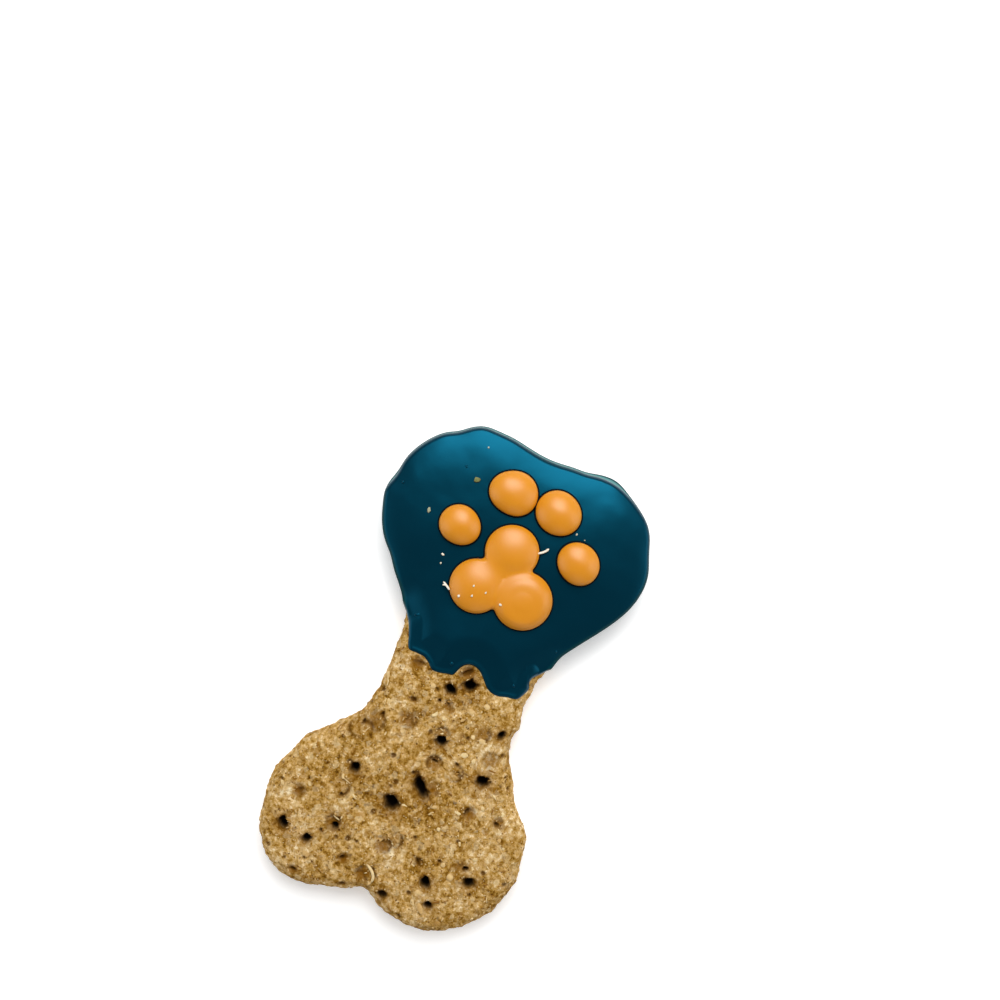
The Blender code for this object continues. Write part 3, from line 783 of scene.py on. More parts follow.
def new_piece(name, points, faces, smooth=True):
    """A mesh object from points in millimetres and faces, as those of four corners and those of three."""
    mesh = bpy.data.meshes.new(name)
    quads = np.asarray(faces[0]).reshape(-1, 4)
    threes = np.asarray(faces[1]).reshape(-1, 3)
    corners = np.concatenate([quads.ravel(), threes.ravel()]).astype(np.int32)
    starts = np.concatenate([np.arange(len(quads)) * 4, len(quads) * 4 + np.arange(len(threes)) * 3])
    mesh.vertices.add(len(points))
    mesh.vertices.foreach_set("co", (np.asarray(points) * MM).astype(np.float32).ravel())
    mesh.loops.add(len(corners))
    mesh.loops.foreach_set("vertex_index", corners)
    mesh.polygons.add(len(starts))
    mesh.polygons.foreach_set("loop_start", starts.astype(np.int32))
    mesh.polygons.foreach_set("use_smooth", np.full(len(starts), smooth))
    mesh.update(calc_edges=True)
    mesh.validate()
    return link_object(name, mesh)


def link_object(name, data):
    """An object with the given mesh, lamp or camera data, in the scene."""
    obj = bpy.data.objects.new(name, data)
    bpy.context.scene.collection.objects.link(obj)
    return obj


def ring(x, y, height):
    """One ring of a grid: its points from x, y and their height, which may be one number for all."""
    return np.column_stack([x, y, np.broadcast_to(height, len(x))])


def ring_faces(rows, columns):
    """Quads of a grid whose columns close into rings, row after row."""
    row, column = np.meshgrid(np.arange(rows - 1), np.arange(columns), indexing="ij")
    here = row * columns + column
    beside = row * columns + (column + 1) % columns
    return np.stack([here, beside, beside + columns, here + columns], axis=-1).reshape(-1, 4)


def set_attribute(obj, name, values):
    """Stores one number for each point of a piece."""
    attribute = obj.data.attributes.new(name, "FLOAT", "POINT")
    attribute.data.foreach_set("value", np.asarray(values, np.float32))


def close_grid(rows, columns, count):
    """Faces of a ring grid whose first and last rings close on two pole points that follow the grid's own."""
    quads = ring_faces(rows, columns)[:, ::-1]
    here = np.arange(columns)
    beside = (here + 1) % columns
    last = (rows - 1) * columns
    first_fan = np.stack([here, beside, np.full(columns, count - 2)], axis=-1)
    last_fan = np.stack([np.full(columns, count - 1), last + beside, last + here], axis=-1)
    return quads, np.concatenate([first_fan, last_fan])


def half_outline(upper):
    """Half of the dough's outline from the bare notch to the dipped tip, and the grid steps to each point.

    A step is short where the dough is bare and long where it is coated.
    """
    angle = np.linspace(math.pi, 0.0, OUTLINE_RAYS) * (1.0 if upper else -1.0)
    reach = trace(dough_edge, (0.0, 0.0), angle)
    line = np.stack([reach * np.cos(angle), reach * np.sin(angle)], axis=1)
    step = np.hypot(*np.diff(line, axis=0).T)
    middle_x = (line[1:, 0] + line[:-1, 0]) / 2.0
    spacing = BARE_STEP + (COATED_STEP - BARE_STEP) * rise(middle_x, COATED_FROM, COATED_FULLY)
    return line, np.concatenate([[0.0], np.cumsum(step / spacing)])


def crust_grid():
    """The plain dough as rings, from a line along its spine, out over the rim, down the side and back under.

    A ring's point is the outline moved inwards along its normal by the rim's or heel's quarter circle,
    or, on the two flat faces, a mix of the rim's inner line and the spine. The spine's points are the
    same for both halves, so the first and last rings fold flat.
    """
    halves = [half_outline(True), half_outline(False)]
    count = int(sum(steps[-1] for _, steps in halves) / 2.0)
    sides = []
    for line, steps in halves:
        stops = np.linspace(0.0, steps[-1], count + 1)
        sides.append(np.stack([np.interp(stops, steps, line[:, k]) for k in (0, 1)], axis=1))
    outline = np.vstack([sides[0], sides[1][-2:0:-1]])
    along = (sides[0][:, 0] + sides[1][:, 0]) / 2.0
    spine_x = SPINE_HALF * np.tanh(np.concatenate([along, along[-2:0:-1]]) / SPINE_BEND)
    spine = np.stack([spine_x, np.zeros(len(outline))], axis=1)
    x, y = outline.T
    nx, ny = slope_of(dough_edge, x, y)
    rings = []

    def add_ring(inset, height):
        rings.append(ring(x - nx * inset, y - ny * inset, height))

    def add_flat(inset, height, shares):
        rim = np.column_stack([x - nx * inset, y - ny * inset])
        rings.extend(ring(*(rim * share + spine * (1.0 - share)).T, height) for share in shares)

    add_flat(DOUGH_RIM, DOUGH_TOP, np.linspace(0.0, 1.0, TOP_RINGS)[:-1])
    for turn in quarter_turn(TURN_RINGS)[:-1]:
        add_ring(DOUGH_RIM * (1.0 - math.sin(turn)), DOUGH_TOP - DOUGH_RIM * (1.0 - math.cos(turn)))
    for height in np.linspace(DOUGH_TOP - DOUGH_RIM, DOUGH_HEEL, SIDE_RINGS)[:-1]:
        add_ring(0.0, height)
    for turn in quarter_turn(HEEL_RINGS)[:-1]:
        add_ring(DOUGH_HEEL * (1.0 - math.cos(turn)), DOUGH_HEEL * (1.0 - math.sin(turn)))
    add_flat(DOUGH_HEEL, 0.0, np.linspace(1.0, 0.0, UNDER_RINGS))
    return np.array(rings)


def crust_faces(rows, columns):
    """Faces of the crust grid, with the first and last rings folded onto the spine, and the points in use."""
    index = np.arange(rows * columns).reshape(rows, columns)
    half = columns // 2
    for row in (0, rows - 1):
        index[row, half + 1 :] = index[row, half - 1 : 0 : -1]
    corners = index.ravel()[ring_faces(rows, columns)[:, ::-1]]
    used, packed = np.unique(corners, return_inverse=True)
    return packed.reshape(-1, 4), used


def hole_depth(x, y, jitter):
    """Depth and painted shade of the docking holes and torn pits, and the brown round each, partly painted
    shade.

    All three go by how far out a point is in shares of the oval's size, made ragged by jitter. The depth is
    a wall that falls as a soft S and a faint dip round it; the painted shade is an S inside it; the brown is
    a bell.
    """
    depth, shade, brown = np.zeros((3, len(x)))
    for darkness, holes in ((1.0, DOCKING_HOLES), (PIT_DARKNESS, TORN_PITS)):
        for hole_x, hole_y, half_length, half_width, turn, deep in holes:
            cos, sin = math.cos(math.radians(turn)), math.sin(math.radians(turn))
            along = ((x - hole_x) * cos + (y - hole_y) * sin) / half_length
            across = (-(x - hole_x) * sin + (y - hole_y) * cos) / half_width
            ratio = np.hypot(along, across) * (1.0 + HOLE_RAGGED * jitter)
            wall = deep * (1.0 - rise(ratio, *HOLE_WALL))
            depth = np.maximum(depth, wall + HOLE_DIP * deep * np.exp(-HOLE_DIP_FALL * ratio**2))
            # The dark of a hole or pit is painted shade, and the brown round it is partly painted shade
            core = darkness * min(HOLE_DARKNESS[0] + HOLE_DARKNESS[1] * deep, 1.0)
            shade = np.maximum(shade, core * (1.0 - rise(ratio, *HOLE_DARK_EDGE)))
            brown_share = min(HOLE_BROWN_SHARE[0] * deep, HOLE_BROWN_SHARE[1])
            brown = np.maximum(brown, np.exp(-((ratio / HOLE_BROWN_REACH) ** 2)) * brown_share)
    return depth, shade, brown


def crater_relief(x, y, jitter):
    """Depth of the craters, the painted shadow in their grooves, and the brown of their dishes, partly
    painted shade.

    A dish is a soft bell set towards the groove's deep side. The groove is a ring with such a bell as its
    section, broken by jitter. Where there is no dish, a low plug stands inside the ring.
    """
    depth, groove, brown = np.zeros((3, len(x)))
    for crater_x, crater_y, radius, dish, ring_depth, turn, brown_share in CRATERS:
        turn = math.radians(turn)
        off_x, off_y = x - crater_x, y - crater_y
        off = np.hypot(off_x, off_y) * (1.0 + CRATER_RAGGED * jitter)
        side = 0.5 + 0.5 * np.cos(np.arctan2(off_y, off_x) - turn)
        whole = np.clip(GROOVE_WHOLE + GROOVE_BREAKS * jitter, 0.0, 1.0)
        line = ring_depth * whole * side * np.exp(-(((off - radius) / GROOVE_WIDTH) ** 2))
        shift = DISH_SHIFT * radius
        deepest = np.hypot(off_x - shift * math.cos(turn), off_y - shift * math.sin(turn))
        dip = np.exp(-((deepest / (DISH_REACH * radius)) ** 2))
        depth += (dish or -PLUG_HEIGHT) * dip + GROOVE_DEPTH * line
        # The groove's darkness is painted shadow, strongest on the groove's deep side
        groove = np.maximum(groove, np.clip(GROOVE_SHADOW * line, 0.0, 1.0))
        brown = np.maximum(brown, brown_share * np.exp(-((off / (DISH_BROWN_REACH * radius)) ** 4)))
    return depth, groove, brown


def crumb_relief(points):
    """Height of the crumb along the normal, and where it is a broken pit.

    Noises at four sizes give lumps and grains, the distance to the nearest cell point gives rounded crumbs,
    and the larger cells with the highest numbers are gouged out round their points, the higher the wider.
    """
    relief = sum(height * lump_noise(points, size, seed) for height, size, seed in CRUMB_LUMPS)
    crumb, kind = cell_noise(points, CRUMB_CELL, 5)
    relief += CRUMB_CELL_HEIGHT * (0.5 - crumb) * (0.4 + kind)
    pit, chance = cell_noise(points * GOUGE_DEEPER, GOUGE_CELL, 6)
    least, growth, edge = GOUGE_REACH
    reach = least + growth * (chance - GOUGED_FROM)
    broken = (1.0 - rise(pit, reach, reach + edge)) * (chance > GOUGED_FROM)
    return relief - GOUGE_DEPTH * broken, broken


def crown(inset):
    """Rise of the dough's top from its rim to its middle, by the distance in from the outline."""
    return CROWN * (rise(inset, 0.0, CROWN_REACH) - 0.5)


def grid_normals(grid):
    """Outward unit normals of the crust's plain grid and the size of the area round each point.

    A normal is at right angles to the steps to the neighbours along the ring and across the rings; the
    folded first and last rings face straight up and down.
    """
    across = np.roll(grid, -1, axis=1) - np.roll(grid, 1, axis=1)
    down = np.gradient(grid, axis=0)
    normal = np.cross(across, down).reshape(-1, 3)
    area = np.linalg.norm(normal, axis=1)
    normal /= area[:, None] + 1e-12
    columns = grid.shape[1]
    normal[:columns] = (0.0, 0.0, 1.0)
    normal[-columns:] = (0.0, 0.0, -1.0)
    return normal, area


def make_crust():
    """The bone of dough with its holes, craters and crumb, and the bare places where scraps can lie.

    The plain grid's bare points are pushed along their normals by the crumb and the side's bulge. Then the
    top gets its crown and is lowered by the deeper of hole and crater, and under the coating by a fixed
    depth, and the coated underside is lifted.
    """
    grid = crust_grid()
    normal, area = grid_normals(grid)
    points = grid.reshape(-1, 3).copy()
    x, y, z = points.T.copy()
    past = past_drip(x, y)
    bare = rise(past, *BARE_FROM)
    on_top = rise(1.0 - (DOUGH_TOP - z) / DOUGH_RIM, *TOP_FROM)
    under = rise(-normal[:, 2], *UNDERSIDE_FROM)
    upright = 1.0 - np.abs(normal[:, 2])
    relief, broken = crumb_relief(points)
    jitter = sum(most * lump_noise(points * (1, 1, deep), size, seed) for most, size, seed, deep in JITTER)
    depth, shade, brown = hole_depth(x, y, jitter)
    dip, groove, brown_share = crater_relief(x, y, jitter)
    relief *= 1.0 + SIDE_COARSER * upright
    bulge = SIDE_BULGE * upright * (np.sin(math.pi * np.clip(z / DOUGH_TOP, 0.0, 1.0)) - 0.5)
    push = (relief * (1.0 - UNDER_SMOOTHER * under) * (1.0 - HOLE_SMOOTHER * shade) + bulge) * bare
    points += normal * push[:, None]
    sunk = UNDER_COATING * rise(-past, *UNDER_COATING_FROM)
    points[:, 2] += on_top * (crown(-dough_edge(x, y)) - bare * np.maximum(dip, depth) - sunk)
    lift = COAT_UNDER * rise(x, *LIFT_FROM) * (1.0 - rise(z, 0.0, LIFT_TO))
    points[:, 2] = np.maximum(points[:, 2], 0.0) + lift
    quads, used = crust_faces(*grid.shape[:2])
    crust = new_piece("baked_crust", points[used], (quads, []))
    make_outward(crust)
    # Marks: near-black painted shade in holes and pits, painted shade in gouges and grooves, and brown that
    # is partly painted shade
    marks = {
        "hole": shade * on_top,
        "brown": np.maximum(brown, brown_share) * on_top,
        "pit": np.maximum(broken, groove * on_top),
    }
    for name, values in marks.items():
        set_attribute(crust, name, (values * bare)[used])
    free = (bare > 0.98) & (shade < 0.05) & (under < 0.2) & (z > SCRAPS_FROM)
    return crust, points, normal, area * free * (SIDE_SCRAPS + (1.0 - SIDE_SCRAPS) * on_top)


def make_outward(obj):
    """Turns every face of a closed piece outwards, by the sign of its volume."""
    mesh = obj.data
    mesh.calc_loop_triangles()
    corners = np.empty(len(mesh.loop_triangles) * 3, np.int32)
    mesh.loop_triangles.foreach_get("vertices", corners)
    place = np.empty(len(mesh.vertices) * 3)
    mesh.vertices.foreach_get("co", place)
    triangle = place.reshape(-1, 3)[corners.reshape(-1, 3)]
    volume = np.einsum("ij,ij->i", triangle[:, 0], np.cross(triangle[:, 1], triangle[:, 2])).sum()
    if volume < 0.0:
        mesh.flip_normals()


def scrap_shape(columns, rings):
    """A flat closed disc of unit half size as rings of (radius, height), and its faces."""
    angle = full_turn(columns)
    rows = [ring(radius * np.cos(angle), radius * np.sin(angle), height) for radius, height in rings]
    poles = np.array([[0.0, 0.0, rings[0][1]], [0.0, 0.0, rings[-1][1]]])
    points = np.vstack([*rows, poles])
    return points, close_grid(len(rings), columns, len(points))


def join_scraps(name, kind, sizes, bends, frames, places, rng):
    """One mesh of many scraps: a unit disc made uneven, sized, curled and lifted, then turned into place.

    A scrap's height gains its curl times its own length squared, so that its two ends lift or dip.
    """
    rings = kind.get("rings", LOOSE_RINGS)
    disc, (quads, threes) = scrap_shape(kind["columns"], rings)
    count, each = len(places), len(disc)
    ragged = 1.0 + kind["ragged"] * rng.uniform(-1.0, 1.0, (count, kind["columns"]))
    ragged = np.concatenate([np.tile(ragged, len(rings)), np.ones((count, 2))], axis=1)
    shape = np.broadcast_to(disc, (count, each, 3)).copy()
    shape[:, :, :2] *= ragged[:, :, None]
    shape *= sizes[:, None, :] / 2.0
    shape[:, :, 2] += bends[:, :1] * shape[:, :, 0] ** 2 + bends[:, 1:]
    world = np.einsum("nij,njk->nik", shape, frames) + places[:, None, :]
    world[:, :, 2] = np.maximum(world[:, :, 2], SCRAP_LOWEST)
    start = (np.arange(count) * each)[:, None, None]
    faces = ((quads + start).reshape(-1, 4), (threes + start).reshape(-1, 3))
    piece = new_piece(name, world.reshape(-1, 3), faces)
    make_outward(piece)
    return piece


def scatter(name, kind, spots, material, rng):
    """Scraps of one kind strewn over the bare crust, each lying nearly flat and turned at random."""
    points, normal, chance = spots
    count = kind["count"]
    place = rng.choice(len(points), count, p=chance / chance.sum())
    length = rng.uniform(*kind["length"], count) * rng.uniform(*SCRAP_SPREAD, count)
    thick = rng.uniform(*kind["thick"], count)
    sizes = np.stack([length, length * rng.uniform(*kind["slim"], count), thick], axis=1)
    curl = rng.normal(0.0, kind["curl"], count)
    bends = np.stack([curl, thick * rng.uniform(*kind["lift"], count)], axis=1)
    up = unit(normal[place] + rng.normal(0.0, kind["tilt"], (count, 3)))
    first = unit(np.cross(up, rng.normal(size=(count, 3))))
    frames = np.stack([first, np.cross(up, first), up], axis=1)
    piece = join_scraps(name, kind, sizes, bends, frames, points[place], rng)
    set_attribute(piece, "tone", np.repeat(rng.random(count), len(piece.data.vertices) // count))
    finish_piece(piece, material, "baked_dough")


def lay_loose(name, spots, heights, material, slot, rng):
    """Scraps laid flat at named spots, given as rows of x, y, length, width, turn and tone."""
    kind = LOOSE[name]
    x, y, length, width, turn, tone = np.array(spots).T
    cos, sin = np.cos(np.radians(turn)), np.sin(np.radians(turn))
    frames = np.zeros((len(x), 3, 3))
    frames[:, 0, 0] = frames[:, 1, 1] = cos
    frames[:, 0, 1], frames[:, 1, 0] = sin, -sin
    frames[:, 2, 2] = 1.0
    sizes = np.stack([length, width, kind["thick"] * (0.5 + width)], axis=1)
    piece = join_scraps(name, kind, sizes, np.zeros((len(x), 2)), frames, ring(x, y, heights), rng)
    set_attribute(piece, "tone", np.repeat(tone, len(piece.data.vertices) // len(x)))
    finish_piece(piece, material, slot)


def make_curls(name, curls, material, slot):
    """Thin curls, each a flattened tube along a curve from its start past its bend to its end.

    The curve is (1-t)^2 start + 2t(1-t) bend + t^2 end, and the tube thins out at both ends as |2t-1|^6.
    """
    t = np.linspace(0.0, 1.0, CURL_RINGS)[:, None]
    angle = full_turn(CURL_RAYS)
    points, quads, threes, start = [], [], [], 0
    for first, bend, last, radius in curls:
        first, bend, last = np.array(first), np.array(bend), np.array(last)
        line = (1.0 - t) ** 2 * first + 2.0 * t * (1.0 - t) * bend + t**2 * last
        run = unit((1.0 - t) * (bend - first) + t * (last - bend))
        side = unit(np.cross(run, (0.0, 0.0, 1.0)))
        over = np.cross(side, run)
        thick = radius * (1.0 - np.abs(2.0 * t - 1.0) ** 6 * CURL_TAPER)
        rings = [line + thick * (math.cos(turn) * side + CURL_FLAT * math.sin(turn) * over) for turn in angle]
        tube = np.vstack([np.stack(rings, axis=1).reshape(-1, 3), line[:1], line[-1:]])
        around, ends = close_grid(len(t), len(angle), len(tube))
        points.append(tube)
        quads.append(around + start)
        threes.append(ends + start)
        start += len(tube)
    piece = new_piece(name, np.vstack(points), (np.vstack(quads), np.vstack(threes)))
    make_outward(piece)
    set_attribute(piece, "tone", np.full(start, CURL_TONE))
    finish_piece(piece, material, slot)


def line_distance(x, y, line):
    """Distance from each point to a line of short straight pieces."""
    start, end = line[:-1], line[1:]
    run = end - start
    off_x, off_y = x[:, None] - start[:, 0], y[:, None] - start[:, 1]
    along = np.clip((off_x * run[:, 0] + off_y * run[:, 1]) / (run**2).sum(axis=1), 0.0, 1.0)
    return np.hypot(off_x - along * run[:, 0], off_y - along * run[:, 1]).min(axis=1)


def rim_drop(inset, radius):
    """How far a quarter-round rim of this radius lies below its top, by the distance in from the outline."""
    off_rim = np.clip(radius - inset, 0.0, radius)
    return radius - np.sqrt(radius**2 - off_rim**2)


def dough_height(x, y):
    """Height of the dough's top without its crumb: a low crown and the rounded rim."""
    inset = np.maximum(-dough_edge(x, y), 0.0)
    return DOUGH_TOP + crown(inset) - rim_drop(inset, DOUGH_RIM)


def cushion(x, y):
    """Height of the coating's top away from its edges: a low cushion with faint waves.

    It falls off towards the outline by COAT_FALL times exp(-inset / reach).
    """
    inset = np.maximum(-bone_edge(x, y), 0.0)
    flat = ring(x, y, 0.0)
    wave = sum(height * lump_noise(flat, size, seed) for height, size, seed in COAT_WAVES)
    return COAT_TOP - COAT_FALL * np.exp(-inset / COAT_FALL_REACH) + wave * rise(inset, *COAT_WAVES_FROM)


def coat_height(x, y):
    """Height of the coating's top: the cushion less its rounded rim.

    Near the drip edge it thins out and ends in a small round bead on the dough, with a faint lip.
    """
    off = line_distance(x, y, drip_line())
    thinning = DRIP_THINNING * (1.0 - rise(off, 0.0, DRIP_THINNING_REACH))
    body = cushion(x, y) - rim_drop(-bone_edge(x, y), COAT_RIM) - thinning
    under = dough_height(x, y) - BEAD_SINK
    lip = BEAD_LIP * np.exp(-(((off - BEAD) / BEAD_LIP_WIDTH) ** 2))
    bead = np.sqrt(1.0 - np.clip(1.0 - off / BEAD, 0.0, 1.0) ** 2)
    return under + (np.maximum(body, under + BEAD_LEAST) + lip - under) * bead


def foot_band(x, y):
    """How far the body's wall stands back behind its spread foot, beyond what it does everywhere."""
    return sum(width * bell(x, y, mark_x, mark_y, reach) for mark_x, mark_y, width, reach in FOOT_MARKS)


def coat_under(x, y):
    """Negative inside the coating's underside, which starts along a wavy line across the bone.

    Near that line it keeps within the dough's narrower outline.
    """
    start = FLANK_EDGE + FLANK_WAVE * np.sin(2.0 * math.pi * y / FLANK_WAVE_LENGTH)
    narrower = UNDER_NARROWER * (1.0 - rise(x, *UNDER_NARROWER_TO))
    return np.maximum(bone_edge(x, y) + narrower, start - x)


def make_coating():
    """The dipped skin, as rays from the middle of the dipped end.

    A ray runs over the top to the rim or the drip edge. From the rim it goes down the wall and out over
    the spread foot; from the drip edge it goes back inside the dough. Both then close under the biscuit.
    Where a ray ends between the two, its rings are a mix of both, by its share of wall.
    """
    middle = COAT_MIDDLE
    angle = full_turn(COAT_RAYS)
    ray = np.column_stack([np.cos(angle), np.sin(angle)])
    edge = middle + ray * np.minimum(trace(bone_edge, middle, angle), drip_reach(angle))[:, None]
    low = middle + ray * trace(coat_under, middle, angle)[:, None]
    out, low_out = (np.column_stack(slope_of(bone_edge, *line.T)) for line in (edge, low))
    wall = rise(bone_edge(*edge.T), *WALL_FROM)
    band = (FOOT_WIDTH * rise(out[:, 0], *FOOT_FACING) + foot_band(*edge.T)) * wall
    back = (WALL_BACK + band) * wall * rise(edge[:, 0], *WALL_BACK_FROM)
    spread = FOOT_SPREAD[0] + FOOT_SPREAD[1] * rise(band, *FOOT_SPREAD_FROM)
    rim = edge - out * back[:, None]
    rim_reach = np.hypot(*(rim - middle).T)
    rings = []

    def add_top(share):
        place = middle + (rim - middle) * share[:, None]
        outer = middle + (edge - middle) * share[:, None]
        rings.append(ring(*place.T, coat_height(*outer.T)))

    def add_mix(outer, inner):
        rings.append(outer * wall[:, None] + inner * (1.0 - wall[:, None]))

    for share in np.linspace(0.0, 1.0, INNER_RINGS)[1:-1]:
        add_top(share * (1.0 - RIM_STRETCH / rim_reach))
    for gap in (1.0 - np.linspace(0.0, 1.0, RIM_RINGS)) ** RIM_CROWDING:
        add_top(1.0 - RIM_STRETCH * gap / rim_reach)
    wall_start = len(rings)
    shoulder = rings[-1][:, 2]
    hidden_low = low - ray * HIDDEN_BACK
    wobble_height, wobble_size, wobble_seed = WALL_WOBBLE
    wobble = wobble_height * lump_noise(ring(*edge.T, 0.0), wobble_size, wobble_seed)
    for share in np.linspace(0.0, 1.0, WALL_RINGS)[1:]:
        swell = (WALL_SWELL * math.sin(math.pi * share) + wobble * share)[:, None]
        outer = ring(*(rim + out * swell).T, shoulder * (1.0 - share) + FOOT_TOP * share)
        deep = shoulder - HIDDEN_DROP * rise(share, 0.0, HIDDEN_DROP_TO)
        deep -= (deep - UNDER_TOP) * rise(share, HIDDEN_DROP_TO, 1.0)
        add_mix(outer, ring(*(edge * (1.0 - share) + hidden_low * share).T, deep))
    foot_start = len(rings)
    for share, height, _ in FOOT_SECTION:
        from_edge = (-back * (1.0 - share) + spread * share)[:, None]
        outer = ring(*(low + low_out * from_edge).T, height * FOOT_TOP)
        add_mix(outer, ring(*(low - ray * HIDDEN_BACK * (1.0 - share)).T, height * UNDER_TOP))
    foot_end = len(rings)
    last = rings[-1][:, :2]
    for share in np.linspace(1.0, 0.0, CLOSING_RINGS)[1:-1]:
        rings.append(ring(*(middle + (last - middle) * share).T, 0.0))
    grid = np.array(rings)
    top = coat_height(*np.array([middle]).T)[0]
    points = np.vstack([grid.reshape(-1, 3), [*middle, top], [*middle, 0.0]])
    coating = new_piece("dipped_coating", points, close_grid(len(grid), COAT_RAYS, len(points)))
    make_outward(coating)
    pale, side = np.zeros((2, len(grid), COAT_RAYS))
    lit = np.array([light for *_, light in FOOT_SECTION])[:, None]
    # pale is a painted highlight along the foot's top, strongest where the foot faces the dipped tip
    pale[foot_start:foot_end] = lit * rise(band, *FOOT_HIGHLIGHT_FROM)
    side[:wall_start] = rise(bone_edge(grid[:wall_start, :, 0], grid[:wall_start, :, 1]), *SIDE_FROM) * wall
    side[wall_start:] = wall
    side[foot_start:foot_end] *= 1.0 - lit
    for name, values in (("pale", pale), ("side", side)):
        set_attribute(coating, name, [*values.ravel(), 0.0, 0.0])
    return coating


def dome(off, height):
    """Height of a round dome at a share of its radius: height times (1 - share^2)^0.7."""
    return height * (1.0 - np.clip(off, 0.0, 1.0) ** 2) ** 0.7


def tuck(rings, x, y, nx, ny):
    """Adds the rings of a drop's foot, which draws in under its belly and sinks a little into the coating."""
    base = cushion(x, y)
    for turn in quarter_turn(TUCK_RINGS)[1:]:
        inset = DROP_TUCK * (1.0 - math.cos(turn))
        level = base + (DROP_BELLY + DROP_SINK) * (1.0 - math.sin(turn)) - DROP_SINK
        rings.append(ring(x - nx * inset, y - ny * inset, level))


def close_drop(name, rings, middle):
    """A piece from a drop's rings, closed by a point on its top and one under its foot."""
    top, foot = rings[0][:, 2].mean() + TOP_POINT, rings[-1][:, 2].mean()
    points = np.vstack([np.array(rings).reshape(-1, 3), [[*middle, top], [*middle, foot]]])
    drop = new_piece(name, points, close_grid(len(rings), len(rings[0]), len(points)))
    make_outward(drop)
    return drop


def toe_outline(size):
    """A toe's outline: radius (1 + a cos 2(angle - b) + c cos 3(angle - d)), and its outward directions."""
    x, y, radius, _, oval, oval_turn, third, third_turn = size
    angle = full_turn(TOE_RAYS)
    reach = 1.0 + oval * np.cos(2.0 * (angle - math.radians(oval_turn)))
    reach = radius * (reach + third * np.cos(3.0 * (angle - math.radians(third_turn))))
    nx, ny = np.cos(angle), np.sin(angle)
    return x + reach * nx, y + reach * ny, nx, ny


def make_toe(index, size):
    """One piped drop: a round dome on the coating's cushion, a little uneven, with a tucked-in foot."""
    x, y, _, height, *_ = size
    edge_x, edge_y, nx, ny = toe_outline(size)
    most, size_of_lumps, seed = TOE_UNEVEN
    rings = []
    for share in np.sin(quarter_turn(TOE_RINGS)[1:]):
        px, py = x + (edge_x - x) * share, y + (edge_y - y) * share
        lumps = lump_noise(ring(px, py, TOE_NOISE_STEP * index), size_of_lumps, seed)
        uneven = most * lumps * (1.0 - share**4)
        level = cushion(px, py) + DROP_BELLY + dome(share, height - DROP_BELLY)
        rings.append(ring(px, py, level + uneven))
    tuck(rings, edge_x, edge_y, nx, ny)
    return close_drop(f"piped_toe_{index}", rings, (x, y))


def pad_edge(x, y):
    """Distance from the pad's outline, negative inside: three round drops that ran together."""
    off = [np.hypot(x - cx, y - cy) - r for cx, cy, r in PAD_DROPS]
    return smooth_min(smooth_min(off[0], off[1], PAD_BLENDS[0]), off[2], PAD_BLENDS[1])


def pad_height(x, y):
    """Height of the pad above its belly: one dome over the blended shares of the three drops' radii.

    The drop piped last lies over the others as a low lens with a soft dish in its top.
    """
    share = [np.hypot(x - cx, y - cy) / r for cx, cy, r in PAD_DROPS]
    joined = smooth_min(smooth_min(share[0], share[1], PAD_SHARE_BLENDS[0]), share[2], PAD_SHARE_BLENDS[1])
    lens = PAD_LENS * (1.0 - rise(share[2], *PAD_LENS_EDGE))
    dish_x, dish_y, radius, deep = PAD_DISH
    dish = deep * (1.0 - rise(np.hypot(x - dish_x, y - dish_y), *(radius * share for share in PAD_DISH_EDGE)))
    body = dome(joined, PAD_HEIGHT) + lens - dish
    inset = np.clip(-pad_edge(x, y) / PAD_RIM, 0.0, 1.0)
    return np.maximum(body, PAD_LEAST) * np.sqrt(1.0 - (1.0 - inset) ** 2)


def pad_outline():
    """The pad's outline as seen from its middle, and its outward directions."""
    angle = full_turn(PAD_RAYS)
    reach = trace(pad_edge, PAD_MIDDLE, angle, far=14.0)
    x, y = PAD_MIDDLE[0] + reach * np.cos(angle), PAD_MIDDLE[1] + reach * np.sin(angle)
    return x, y, *slope_of(pad_edge, x, y)


def make_pad():
    """The pad of three joined drops, as rays from its middle out to the joint outline and tucked in below."""
    x, y, nx, ny = pad_outline()
    rings = []
    for share in np.sin(quarter_turn(PAD_RINGS)[1:]):
        px = PAD_MIDDLE[0] + (x - PAD_MIDDLE[0]) * share
        py = PAD_MIDDLE[1] + (y - PAD_MIDDLE[1]) * share
        rings.append(ring(px, py, cushion(px, py) + DROP_BELLY + pad_height(px, py)))
    tuck(rings, x, y, nx, ny)
    return close_drop("piped_pad", rings, PAD_MIDDLE)


def make_fillets():
    """Narrow fillets round the drops that carry a painted contact shadow: a closed section carried round each
    outline.
    """
    points, quads, start = [], [], 0
    for x, y, nx, ny in [toe_outline(size) for size in TOES] + [pad_outline()]:
        for off, height in FILLET_SECTION:
            place_x, place_y = x + nx * off, y + ny * off
            points.append(ring(place_x, place_y, cushion(place_x, place_y) + height))
        count = len(x) * len(FILLET_SECTION)
        quads.append(ring_faces(len(FILLET_SECTION) + 1, len(x)) % count + start)
        start += count
    fillets = new_piece("contact_shadow_fillets", np.vstack(points), (np.vstack(quads), []))
    make_outward(fillets)
    return fillets


def connect(tree, node, sockets):
    """Gives each named socket of a node a value or another node's output."""
    for key, value in sockets.items():
        if isinstance(value, bpy.types.NodeSocket):
            tree.links.new(value, node.inputs[key])
        else:
            node.inputs[key].default_value = value


